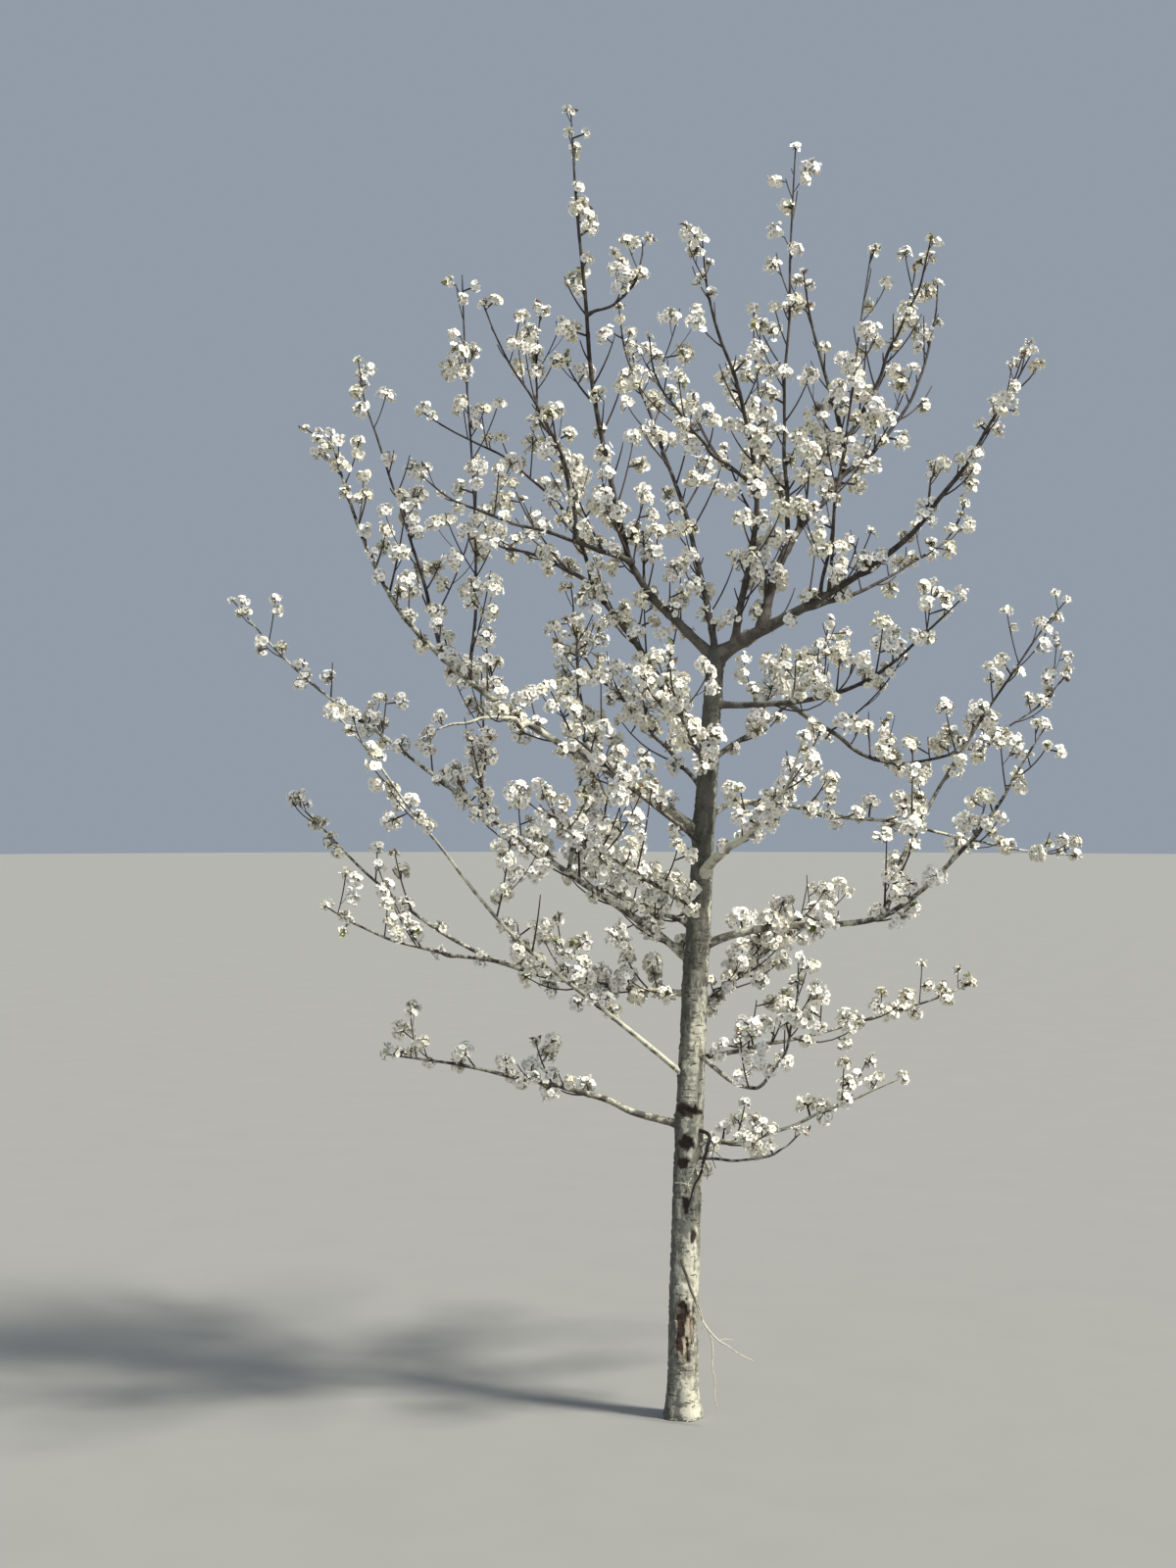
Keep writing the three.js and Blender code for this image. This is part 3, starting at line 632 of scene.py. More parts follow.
class Pile:
    """Many small meshes that become one piece, with the values that their vertices carry."""

    def __init__(self):
        self.vertices, self.faces, self.values, self.count = [], [], {}, 0

    def add(self, form, vertices, **values):
        """Copies of a form, one for each row of vertices."""
        made, each = vertices.shape[:2]
        offsets = self.count + each * np.arange(made)
        self.vertices.append(vertices.reshape(-1, 3))
        self.faces.append((form.faces[None] + offsets[:, None, None]).reshape(-1, 3))
        for name, value in values.items():
            self.values.setdefault(name, []).append(np.broadcast_to(value, (made, each)).reshape(-1))
        self.count += made * each

    def piece(self, name, material, slot, replaced):
        """The pile as one object that rides on the tree."""
        mesh = bpy.data.meshes.new(name)
        mesh.from_pydata((np.concatenate(self.vertices) * MM).tolist(), [], np.concatenate(self.faces).tolist())
        for value_name, parts in self.values.items():
            layer = mesh.attributes.new(value_name, "FLOAT", "POINT")
            layer.data.foreach_set("value", np.concatenate(parts).astype(np.float32))
        mesh.shade_smooth()
        mesh.materials.append(material)
        piece = bpy.data.objects.new(name, mesh)
        bpy.context.scene.collection.objects.link(piece)
        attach(piece, BODY)
        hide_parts(*replaced)
        return piece


def noise_round(angle, along, cells, tall, seed):
    """Smooth noise from 0 to 1 on a tube, in so many cells round it, each so tall."""
    rows = int(np.max(along) / tall) + 3
    lattice = np.random.default_rng(seed).random((rows, cells))
    u, v = (angle / TAU) % 1 * cells, along / tall + 0.5
    i, j = np.floor(u).astype(int), np.floor(v).astype(int)
    fu, fv = smooth(0, 1, u - i), smooth(0, 1, v - j)
    left, right, above = i % cells, (i + 1) % cells, np.minimum(j + 1, rows - 1)
    low = lattice[j, left] * (1 - fu) + lattice[j, right] * fu
    high = lattice[above, left] * (1 - fu) + lattice[above, right] * fu
    return low * (1 - fv) + high * fv


# Finishes

class Wire:
    """A socket of a finish's nodes, on which plain arithmetic adds Math nodes."""

    def __init__(self, finish, socket):
        self.finish, self.socket = finish, socket

    def _maths(self, operation, first, second):
        return self.finish.node("ShaderNodeMath", {"operation": operation}, {0: first, 1: second})

    def __add__(self, other):
        return self._maths("ADD", self, other)

    def __sub__(self, other):
        return self._maths("SUBTRACT", self, other)

    def __rsub__(self, other):
        return self._maths("SUBTRACT", other, self)

    def __mul__(self, other):
        return self._maths("MULTIPLY", self, other)

    __radd__ = __add__
    __rmul__ = __mul__

    def over(self, low, high):
        """0 below low, 1 above high, and an even swing between them."""
        settings = {"interpolation_type": "SMOOTHSTEP"}
        values = {"Value": self, "From Min": low, "From Max": high}
        return self.finish.node("ShaderNodeMapRange", settings, values)


class Finish:
    """A material built up from nodes."""

    def __init__(self, name, **fixed):
        self.material = bpy.data.materials.new(name)
        self.material.use_nodes = True
        self.nodes = self.material.node_tree.nodes
        self.links = self.material.node_tree.links
        self.shader = self.nodes["Principled BSDF"]
        for socket, value in fixed.items():
            self.set(socket.replace("_", " "), value)

    def _feed(self, socket, value):
        if isinstance(value, Wire):
            self.links.new(value.socket, socket)
        elif socket.type == "RGBA":
            socket.default_value = (*value[:3], 1)
        else:
            socket.default_value = value

    def set(self, socket, value):
        """Feeds the shader itself."""
        self._feed(self.shader.inputs[socket], value)

    def node(self, kind, settings=None, inputs=None, output=0):
        """Any node: its settings first, then the values or wires of its sockets."""
        made = self.nodes.new(kind)
        for key, value in (settings or {}).items():
            setattr(made, key, value)
        for key, value in (inputs or {}).items():
            self._feed(made.inputs[key], value)
        return Wire(self, made.outputs[output])

    def noise(self, scale, detail=3.0, rough=0.55, stretch=(1, 1, 1)):
        """Noise from about 0 to 1 in the piece's own metres, with so many waves to the metre."""
        coordinates = self.node("ShaderNodeTexCoord", output="Object")
        place = self.node("ShaderNodeMapping", None, {"Vector": coordinates, "Scale": stretch})
        values = {"Vector": place, "Scale": scale, "Detail": detail, "Roughness": rough}
        return self.node("ShaderNodeTexNoise", None, values)

    def value(self, name):
        """A value that the mesh carries."""
        return self.node("ShaderNodeAttribute", {"attribute_name": name}, output="Fac")

    def mix(self, factor, first, second):
        """One colour turning into another."""
        values = {0: factor, 6: first, 7: second}
        return self.node("ShaderNodeMix", {"data_type": "RGBA"}, values, output=2)

    def done(self, colour, height, strength, distance):
        """The material in its colour, with its surface raised by a height, at most so many metres."""
        self.set("Base Color", colour)
        values = {"Height": height, "Strength": strength, "Distance": distance}
        self.set("Normal", self.node("ShaderNodeBump", None, values))
        return self.material


def trunk_finish(bark):
    """Grey bark with pale lichen and short cracks across it, dark scars and one long wound, with painted sunlight
    on the side towards the key light and painted shade on the far side.
    """
    finish = Finish("trunk_bark", Roughness=0.92)
    pale = finish.value("pale")
    plates = finish.noise(40, detail=4, stretch=(1, 1, 0.4))
    lichen = finish.noise(34, detail=6, rough=0.7, stretch=(1, 1, 0.42))
    flecks = finish.noise(160, detail=2)
    cracks = finish.noise(32, detail=4, rough=0.6, stretch=(1, 1, 4)).over(0.60, 0.67)
    streaks = finish.noise(60, detail=3, stretch=(1, 1, 0.12))
    fissures = finish.noise(75, detail=4, rough=0.6, stretch=(1, 1, 0.22)).over(0.58, 0.66)
    # The pale value brings paler bark and painted sunlight; where it is low the darker plates take over, as
    # painted shade
    colour = finish.mix(plates.over(0.38, 0.60) * (0.35 + 0.25 * pale) + 0.4 * pale, bark.shade, bark.grey)
    lichen = lichen.over(0.49, 0.60) * (0.45 + 0.55 * flecks.over(0.3, 0.6)) * (0.10 + 0.90 * pale)
    colour = finish.mix(lichen + pale.over(1, 2) * 0.75, colour, bark.lichen)
    # Painted shade: the bark is darkened where it is least pale, on the side away from the key light and high up
    # the trunk
    colour = finish.mix((1 - pale.over(0.4, 1.0)) * 0.6, colour, bark.shade)
    colour = finish.mix(cracks * 0.85, colour, bark.crack)
    colour = finish.mix(fissures * 0.5, colour, bark.crack)
    torn = finish.mix(streaks.over(0.52, 0.60), bark.wound, bark.dry_wood)
    colour = finish.mix(finish.value("wound"), colour, torn)
    healed = finish.mix(flecks.over(0.48, 0.62) * 0.8, bark.scar, bark.wound)
    colour = finish.mix(finish.value("scar"), colour, healed)
    height = plates * 0.6 + flecks * 0.3 - cracks * 0.7 - fissures * 0.6 + streaks * 0.2
    return finish.done(colour, height, 0.9, 0.005)


def limb_finish(bark):
    """Grey-brown bark, darker on thin limbs, with pale patches where the mesh says so, which also paint sunlight
    on the limbs' upper sides.
    """
    finish = Finish("limb_bark", Roughness=0.8)
    patches = finish.noise(34, detail=5, rough=0.65)
    flecks = finish.noise(190, detail=2)
    rings = finish.noise(75, detail=3)
    colour = finish.mix(finish.value("grey"), bark.twig, bark.bough)
    # The pale value holds pale bark and painted sunlight, higher on the limbs' upper sides
    pale = finish.value("pale") * patches.over(0.42, 0.60) * (0.5 + 0.5 * flecks.over(0.32, 0.6))
    colour = finish.mix(pale, colour, bark.lichen)
    colour = finish.mix(finish.value("pale").over(1, 3), colour, bark.lichen)
    colour = finish.mix(rings.over(0.60, 0.70) * 0.7, colour, bark.crack)
    return finish.done(colour, patches * 0.5 + flecks * 0.4 + rings * 0.5, 0.6, 0.0025)


def dead_finish(bark):
    """Bleached grey wood without its bark, dark where the mesh says so."""
    finish = Finish("dead_wood", Roughness=0.85)
    grain = finish.noise(120, detail=4)
    colour = finish.mix(grain.over(0.35, 0.6), bark.dry_wood, bark.lichen)
    colour = finish.mix(finish.value("dark"), colour, bark.twig)
    return finish.done(colour, grain, 0.5, 0.0015)


def twig_finish(bark):
    """Dark reddish shoots with fine pale specks."""
    finish = Finish("twig_bark", Roughness=0.6)
    specks = finish.noise(420, detail=1).over(0.62, 0.70)
    tone = finish.noise(24, detail=2).over(0.35, 0.65)
    colour = finish.mix(tone, bark.twig, bark.spur)
    colour = finish.mix(specks * 0.5, colour, bark.bough)
    return finish.done(colour, finish.noise(300, detail=2), 0.4, 0.001)


def soft_finish(name, colour, deeper, roughness):
    """A petal, leaf or bud: its colour turns deeper towards its base and here and there."""
    finish = Finish(name, Roughness=roughness)
    tone = finish.noise(70, detail=2).over(0.35, 0.75) * 0.5 + finish.value("inner") * 0.5
    colour = finish.mix(tone.over(0, 1), colour, deeper)
    return finish.done(colour, finish.noise(900, detail=1), 0.25, 0.0006)


def floor_finish(colour):
    finish = Finish("floor", Roughness=0.95)
    grain = finish.noise(3, detail=4).over(0.2, 0.8)
    finish.set("Base Color", finish.mix(grain, colour, tuple(0.96 * part for part in colour)))
    return finish.material


# What a user may change

def tint(name, red, green, blue):
    """A colour of the panel."""
    return bpy.props.FloatVectorProperty(
        name=name, description=f"Base colour: {name.lower()}", subtype="COLOR", size=3,
        min=0, max=1, default=(red, green, blue),
    )


class BarkSettings(bpy.types.PropertyGroup):
    """The relief and colours of the trunk, the limbs and the twigs."""

    relief: bpy.props.FloatProperty(
        name="Relief", description="How far the trunk's bark plates stand out", default=0.0016, min=0,
        max=0.006, precision=4, unit="LENGTH",
    )
    grey: tint("Trunk", 0.240, 0.234, 0.192)
    # Also the colour that the painted shade on the trunk darkens towards
    shade: tint("Trunk's darker plates", 0.083, 0.081, 0.066)
    # Also the colour of the painted sunlight on the trunk's bright patches and sunny side, and on the limbs' upper
    # sides
    lichen: tint("Lichen and bleached bark", 0.62, 0.60, 0.48)
    crack: tint("Cracks", 0.045, 0.037, 0.030)
    scar: tint("Old branch scars", 0.030, 0.020, 0.015)
    wound: tint("Torn bark", 0.045, 0.024, 0.019)
    dry_wood: tint("Dead wood", 0.47, 0.40, 0.29)
    bough: tint("Boughs", 0.105, 0.092, 0.074)
    twig: tint("Twigs", 0.026, 0.017, 0.014)
    spur: tint("Spurs", 0.052, 0.030, 0.022)


class BlossomSettings(bpy.types.PropertyGroup):
    """The size and colours of the flowers."""

    flower_width: bpy.props.FloatProperty(
        name="Flower width", description="Across an open flower", default=0.027, min=0.01, max=0.04,
        precision=4, unit="LENGTH",
    )
    white: tint("White petals", 0.97, 0.96, 0.91)
    cream: tint("Cream petals", 0.95, 0.93, 0.83)
    shell: tint("Older petals", 0.88, 0.85, 0.72)
    anther: tint("Anthers", 0.52, 0.27, 0.24)
    pollen: tint("Spent anthers", 0.42, 0.30, 0.18)
    centre: tint("Flower centres", 0.62, 0.65, 0.36)
    stalk: tint("Flower stalks", 0.17, 0.15, 0.065)
    leaf: tint("Young leaves", 0.30, 0.33, 0.08)
    bronze: tint("Bronze leaves", 0.19, 0.105, 0.045)


class StageSettings(bpy.types.PropertyGroup):
    """The floor and the light round the tree."""

    floor: tint("Floor", 0.27, 0.265, 0.25)
    air: tint("Air", 0.29, 0.335, 0.40)
    fill: bpy.props.FloatProperty(
        name="Fill light", description="Strength of the wide lights that soften the shade", default=0.4, min=0,
    )
    key: bpy.props.FloatProperty(
        name="Key light", description="Strength of the main light", default=5.4, min=0,
    )
    softness: bpy.props.FloatProperty(
        name="Softness", description="How wide the main light looks", default=math.radians(9), min=0,
        unit="ROTATION",
    )


# Pieces

BOUGH_NODES = [name for name in frame["nodes"] if name.endswith("_bough")]
MASS_NODES = [name for name in frame["nodes"] if name.endswith("_twigs")]

# Marks on the trunk: height, place across its front, half width, half height, how deep, how high its rim
SCARS = (
    (941, -13, 38, 20, 3.0, 3.0),
    (936, 22, 34, 9, 2.5, 2.0),
    (843, -6, 28, 28, 7.0, 3.5),
    (782, -19, 17, 20, 4.0, 2.5),
    (657, -5, 14, 25, 2.5, 1.5),
    (558, 21, 12, 22, 2.0, 1.5),
)
WOUND = (267, -8, 31, 98, 6.0, 3.0)

# How many further scars are dealt out over the back, which is also their seed
BACK_SCARS = 9

# Bright patches on the trunk, partly pale bark and partly painted sunlight: height, angle round the trunk, half
# width, half height
PALE_AND_SUNLIT_BARK = (
    (1110, -1.1, 34, 190), (780, -1.35, 14, 80), (430, -1.3, 40, 80), (60, -1.25, 26, 80),
    (1740, -0.5, 11, 260), (2060, -0.7, 9, 120), (1400, -0.5, 8, 90),
)

# The angle of the trunk's side that is painted paler as painted sunlight, its far side getting painted shade, and
# the heights between which its bark turns paler, going down
PAINTED_SUN_SIDE = -0.95
PALE_BELOW = (1600, 1000)

# The bark's relief in three sizes: how many times the relief's depth, cells round the trunk, how tall each,
# seed. Then its pits.
RELIEF = ((1.6, 9, 60, 1), (1.5, 22, 24, 2), (0.8, 48, 9, 3))
PITS = SimpleNamespace(deep=1.6, cells=8, tall=7, seed=4)

# The collar round each bough in shares of the bough's radius, and how far above its start its middle is
COLLAR = SimpleNamespace(out=0.42, across=2.0, along=2.4, above=18)

# The trunk's rounded top: how far above the fork, and its share of the radius
CAP = ((3, 0.96), (8, 0.8), (12, 0.5), (14, 0.2))


def turn_from(angle, middle):
    """How far an angle is round from another, from minus to plus half a turn."""
    return (angle - middle + math.pi) % TAU - math.pi


def trunk_marks():
    """The old scars as height, angle round the trunk, half width, half height, depth and rim."""
    marks = [
        (height, math.asin(across / trunk_radius(height)) - math.pi / 2, *rest)
        for height, across, *rest in SCARS
    ]
    draw = seeded(BACK_SCARS)
    for i in range(BACK_SCARS):
        size = 8 + 12 * draw()
        height = 260 + 1300 * (i + draw()) / BACK_SCARS
        marks.append((height, math.pi * (0.1 + 0.8 * draw()), size, size * (0.9 + 0.5 * draw()), 4.0, 2.5))
    return marks


def mark_distance(mark, height, angle):
    """How far a place on the trunk is from a mark's middle, 1 being its edge."""
    middle, facing, half_width, half_height = mark[:4]
    across = turn_from(angle, facing) * trunk_radius(middle)
    ragged = 0.6 + 0.8 * noise_round(angle, height, 26, 11, round(middle))
    return ragged * np.hypot(across / half_width, (height - middle) / half_height)


def inside_marks(marks, edge, height, angle):
    """1 inside any of the marks, 0 outside them all, with an edge from one distance to another."""
    return np.max([1 - smooth(*edge, mark_distance(mark, height, angle)) for mark in marks], axis=0)


def trunk_relief(height, angle, relief, marks):
    """How far the trunk's surface stands out from its plain taper."""
    out = FLARE.ridge * np.cos(FLARE.ridges * angle) * np.exp(-height / FLARE.height)
    for deep, *cells in RELIEF:
        out += relief * deep * (noise_round(angle, height, *cells) - 0.5)
    out -= relief * PITS.deep * smooth(0.68, 0.82, noise_round(angle, height, PITS.cells, PITS.tall, PITS.seed))
    for limb in limbs().values():
        if limb.parent is None:
            leaving = limb.points[1] - limb.points[0]
            base = limb.points[0][2] + COLLAR.above
            around = turn_from(angle, math.atan2(leaving[1], leaving[0])) * trunk_radius(base)
            wide, tall = COLLAR.across * limb.thick, COLLAR.along * limb.thick
            out += COLLAR.out * limb.thick * np.exp(-((around / wide) ** 2 + ((height - base) / tall) ** 2))
    for mark in marks:
        distance = mark_distance(mark, height, angle)
        out += mark[5] * np.exp(-((distance - 1.1) / 0.22) ** 2) - mark[4] * (1 - smooth(0.55, 1, distance))
    return out


class PEAR_OT_trunk(bpy.types.Operator):
    """Makes the trunk, with its bark's relief, collars under the boughs, scars and wound"""

    bl_idname = "pear.trunk"
    bl_label = "Trunk"

    def execute(self, context):
        bark = context.scene.pear_bark
        heights = np.concatenate((
            np.linspace(0, FORK_HEIGHT, round(FORK_HEIGHT / TRUNK_SPACING)),
            [FORK_HEIGHT + above for above, _ in CAP],
        ))
        radii = trunk_radius(np.minimum(heights, FORK_HEIGHT))
        radii[-len(CAP):] *= [share for _, share in CAP]
        form = tube(TRUNK_SIDES, len(heights))
        height = heights[form.ring]
        marks, wound = trunk_marks(), (WOUND[0], -math.pi / 2, *WOUND[2:])
        relief = trunk_relief(height, form.angle, bark.relief / MM, [*marks, wound])
        relief[form.ring >= len(heights) - len(CAP)] = 0
        vertices = laid(form, trunk_centre(heights)[None], (radii[form.ring] + relief)[None])
        vertices[0, form.ring == 0, 2] = 0
        scar = inside_marks(marks, (0.8, 1.0), height, form.angle)
        torn = inside_marks([wound], (0.75, 1.05), height, form.angle)
        # The bright patches are partly pale bark and partly painted sunlight
        lit = inside_marks(PALE_AND_SUNLIT_BARK, (0.5, 1.2), height, form.angle)
        # Painted light: by its angle round the trunk, the bark is painted paler on the side towards the key light
        # and darker, as painted shade, on the far side
        painted_sun = smooth(-0.3, 0.8, np.cos(form.angle - PAINTED_SUN_SIDE))
        low = smooth(*PALE_BELOW, height)
        pale = (low + 0.9 * lit) * (0.3 + painted_sun) + 0.3 * painted_sun * (1 - low)
        pile = Pile()
        pile.add(form, vertices, scar=scar, wound=torn, pale=pale)
        pile.piece("trunk_bark", trunk_finish(bark), "bark", ["trunk"])
        return {"FINISHED"}


# Limbs whose bark is paler, partly pale bark of their own and partly painted sunlight on them, and limbs that are
# stouter or slimmer than the solids' taper makes them, near the trunk and further out. Then the common way, and
# the stretch in which the one turns into the other.
PALE_AND_SUNLIT_LIMBS = {
    "drooping_stub": 2.4, "front_right": 3.6, "crossing_left": 2.6, "level_right": 1.4, "lowest_right": 2.8,
    "far_right": 1.4, "far_left": 1.5, "low_left": 1.3, "long_left": 1.2, "front_left": 1.4, "back_left_low": 1.2,
}
STOUT = {"front_right": (1.35, 1), "drooping_stub": (1.25, 1.25), "right_leader": (1.1, 0.68)}
COMMON_STOUT = (1, 0.88)
STOUT_REACH = (100, 450)

# The heights between which the limbs' bark turns paler and greyer, going down
LIMBS_PALE, LIMBS_GREY = (2450, 1300), (2650, 2200)


class PEAR_OT_boughs(bpy.types.Operator):
    """Makes every limb from its collar to its tip, with knuckles where its spurs leave"""

    bl_idname = "pear.boughs"
    bl_label = "Boughs"

    def execute(self, context):
        growth()
        pile = Pile()
        for limb in limbs().values():
            line = limb.fine
            inside = limb.parent.thick if limb.parent else trunk_radius(limb.points[0][2])
            collar = 1 + 0.45 * np.exp(-np.maximum(line.reach - 0.8 * inside, 0) / (1.6 * limb.thick))
            knuckles = sum(np.exp(-((line.reach - node) / 7) ** 2) for node in limb.nodes)
            radii = line.radii * collar * (1 + 0.2 * np.minimum(knuckles, 1))
            radii *= between(*STOUT.get(limb.name, COMMON_STOUT), smooth(*STOUT_REACH, line.reach))
            form = tube(LIMB_SIDES if limb.thick > THIN_LIMB else THIN_LIMB_SIDES, len(radii))
            lumps = noise_round(form.angle, line.reach[form.ring], 5, 24, limb.seed)
            around = (radii[form.ring] * (0.93 + 0.14 * lumps))[None]
            vertices = laid(form, line.points[None], around)
            # Painted light: the limbs' bark is painted paler on their upper sides, where sunlight falls, and
            # darker underneath
            raised = (vertices - line.points[form.ring])[..., 2] / around
            height = vertices[..., 2]
            pale = PALE_AND_SUNLIT_LIMBS.get(limb.name, 0.15 + 0.75 * smooth(*LIMBS_PALE, height)) * (0.8 + 0.4 * raised)
            grey = smooth(4, 15, radii[form.ring]) * (0.15 + 0.85 * smooth(*LIMBS_GREY, height))
            pile.add(form, vertices, grey=grey, pale=pale)
        pile.piece("limb_bark", limb_finish(context.scene.pear_bark), "bark", BOUGH_NODES)
        return {"FINISHED"}


class PEAR_OT_twigs(bpy.types.Operator):
    """Makes the shoots and twigs on the boughs, and the spurs that carry the clusters"""

    bl_idname = "pear.twigs"
    bl_label = "Twigs"

    def execute(self, context):
        tree = growth()
        pile = Pile()
        for lines, sides in ((tree.shoots, SHOOT_SIDES), (tree.twigs, TWIG_SIDES)):
            form = tube(sides, len(lines[0].points))
            radii = np.array([line.radii for line in lines])[:, form.ring]
            pile.add(form, laid(form, np.array([line.points for line in lines]), radii))
        form = tube(SPUR_SIDES, SPUR_RINGS)
        share = np.linspace(0, 1, SPUR_RINGS)
        base = np.array([cluster.base for cluster in tree.clusters])[:, None, :]
        run = np.array([cluster.facing * cluster.spur for cluster in tree.clusters])[:, None, :]
        root = np.array([cluster.root for cluster in tree.clusters])[:, None]
        swell = 1 + SPUR.swell * np.sin(math.pi * share) ** 2
        radii = between(root, SPUR.tip, share) * swell
        pile.add(form, laid(form, base + run * share[None, :, None], radii[:, form.ring]))
        pile.piece("twigs", twig_finish(context.scene.pear_bark), "bark", MASS_NODES)
        return {"FINISHED"}


# Dead shoots as points, with their radii at both ends: the pale one low on the trunk, and a dark one above it
PALE_SHOOTS = (
    (((0, 0, 500), (-4, -58, 478), (10, -60, 440), (22, -64, 400), (38, -70, 362), (52, -92, 322), (72, -105, 290),
      (104, -118, 258), (128, -126, 246), (160, -140, 226), (206, -150, 205)), 5.5, 1.5),
    (((72, -105, 290), (82, -112, 262), (86, -118, 220), (84, -122, 182), (92, -124, 140), (90, -127, 98),
      (98, -128, 58)), 3.0, 1.5),
    (((104, -118, 258), (122, -112, 262), (148, -108, 258)), 1.7, 0.9),
    (((38, -70, 362), (50, -84, 345), (56, -98, 318), (54, -104, 292)), 1.7, 0.9),
    (((-26, -46, 722), (-4, -62, 724), (26, -60, 716), (44, -50, 722)), 1.9, 1.2),
    (((24, -58, 738), (14, -64, 722), (22, -66, 700), (46, -62, 674), (62, -56, 668)), 1.8, 1.0),
)
DARK_SHOOTS = (
    (((46, -20, 880), (78, -58, 868), (70, -70, 828), (60, -68, 790), (50, -66, 748), (32, -66, 716),
      (22, -64, 680), (8, -60, 632)), 6.5, 2.0),
    (((76, -62, 862), (92, -74, 838), (86, -82, 806), (96, -84, 772)), 1.9, 1.0),
    (((68, -72, 822), (92, -84, 824), (118, -96, 800)), 1.5, 0.9),
    (((74, -64, 850), (54, -88, 838), (58, -100, 806), (46, -104, 782)), 1.6, 0.9),
    (((58, -70, 790), (74, -80, 768), (70, -84, 738)), 1.4, 0.8),
    (((92, -74, 838), (112, -86, 856), (134, -92, 848)), 1.3, 0.8),
)
DEAD_SPACING, DEAD_SIDES = 7.0, 6

# The pale shoots keep their dark bark from the first pair of heights to the second
BARK_BEGINS, BARK_ENDS = (330, 375), (510, 540)


class PEAR_OT_dead_wood(bpy.types.Operator):
    """Makes the dead shoots that hang on the trunk"""

    bl_idname = "pear.dead_wood"
    bl_label = "Dead wood"

    def execute(self, context):
        pile = Pile()
        for dark, shoots in ((0.0, PALE_SHOOTS), (1.0, DARK_SHOOTS)):
            for seed, (points, root, tip) in enumerate(shoots):
                line = Line(points, np.linspace(root, tip, len(points))).smoothed(DEAD_SPACING)
                form = tube(DEAD_SIDES, len(line.points))
                lumps = noise_round(form.angle, line.reach[form.ring], 4, 14, seed)
                around = (line.radii[form.ring] * (0.85 + 0.3 * lumps))[None]
                height = line.points[form.ring, 2]
                barked = smooth(*BARK_BEGINS, height) - smooth(*BARK_ENDS, height)
                pile.add(form, laid(form, line.points[None], around), dark=np.maximum(dark, 0.85 * barked))
        pile.piece("dead_wood", dead_finish(context.scene.pear_bark), "bark", ["dead_shoot"])
        return {"FINISHED"}


def spun(bm, count):
    """Turns a blade round the upright, to make so many of it in all."""
    bmesh.ops.spin(
        bm, geom=bm.verts[:] + bm.edges[:] + bm.faces[:], axis=(0, 0, 1), cent=(0, 0, 0),
        angle=TAU * (count - 1) / count, steps=count - 1, use_duplicate=True,
    )


def stood(bm, height):
    """The form of a shape that is lifted by so much."""
    bmesh.ops.translate(bm, verts=bm.verts, vec=(0, 0, height))
    return Form(bm)


def petals(lift, curl):
    """Five petals of one flower, one unit long, lifted by an angle and curled up along their length."""
    bm = bmesh.new()
    bmesh.ops.create_circle(bm, cap_ends=True, segments=6, radius=1)
    for vertex in bm.verts:
        along, aside = 0.55 + 0.45 * vertex.co.y, 0.5 * vertex.co.x
        angle = lift + curl * along
        rise = along * math.sin(angle) + 0.7 * aside * aside
        vertex.co = (along * math.cos(angle), aside * (0.75 + 0.4 * along), rise)
    spun(bm, 5)
    bmesh.ops.recalc_face_normals(bm, faces=bm.faces)
    return Form(bm)


def anthers():
    """Seven stamens of one flower, each a thin blade that is widest at its anther."""
    bm = bmesh.new()
    bmesh.ops.create_circle(bm, cap_ends=True, segments=3, radius=1)
    for vertex in bm.verts:
        along = 0.25 * (1 - vertex.co.y)
        vertex.co = (along, 0.055 * vertex.co.x, 0.05 + 0.8 * along)
    spun(bm, 7)
    return Form(bm)


def bud():
    """A closed bud, one unit long and wide, on its stalk's end."""
    bm = bmesh.new()
    bmesh.ops.create_icosphere(bm, subdivisions=1, radius=0.5)
    return stood(bm, 0.5)


def flower_centre():
    """The green cushion in a flower's middle."""
    bm = bmesh.new()
    bmesh.ops.create_cone(bm, segments=4, radius1=0.15, radius2=0, depth=0.12)
    return stood(bm, 0.06)


def flower_stalk():
    """A stalk that widens to the cup under the flower: one unit long, and its radius in millimetres."""
    bm = bmesh.new()
    bmesh.ops.create_cone(bm, segments=STALK_SIDES, radius1=0.6, radius2=2.0, depth=1)
    return stood(bm, 0.5)


def leaf():
    """A small leaf, one unit long and over half as wide, folded along its middle and bent back at its tip."""
    bm = bmesh.new()
    bmesh.ops.create_grid(bm, x_segments=4, y_segments=2, size=0.5)
    for vertex in bm.verts:
        x = vertex.co.x + 0.5
        width = 0.62 * math.sin(math.pi * x ** 0.8) if 0 < x < 1 else 0.02
        y = vertex.co.y * width
        vertex.co = (x, y, 0.6 * abs(y) + 0.14 * math.sin(math.pi * x) - 0.1 * x)
    return Form(bm)


def soft_piece(name, form, vertices, colour, deeper, roughness):
    """Copies of one form as a piece with a soft finish."""
    pile = Pile()
    pile.add(form, vertices, inner=0)
    pile.piece(name, soft_finish(name, colour, deeper, roughness), "blossom", MASS_NODES)


# The share of the flowers at each stage, and how far its petals are lifted and curled
FLOWER_STAGES = (
    (0.06, "bud"), (0.08, (1.0, 0.2)), (0.24, (0.75, -0.35)), (0.36, (0.5, -0.45)), (0.26, (0.3, -0.5)),
)

# The share of the clusters that are white, cream and shell
TINTS = (0.44, 0.36, 0.20)


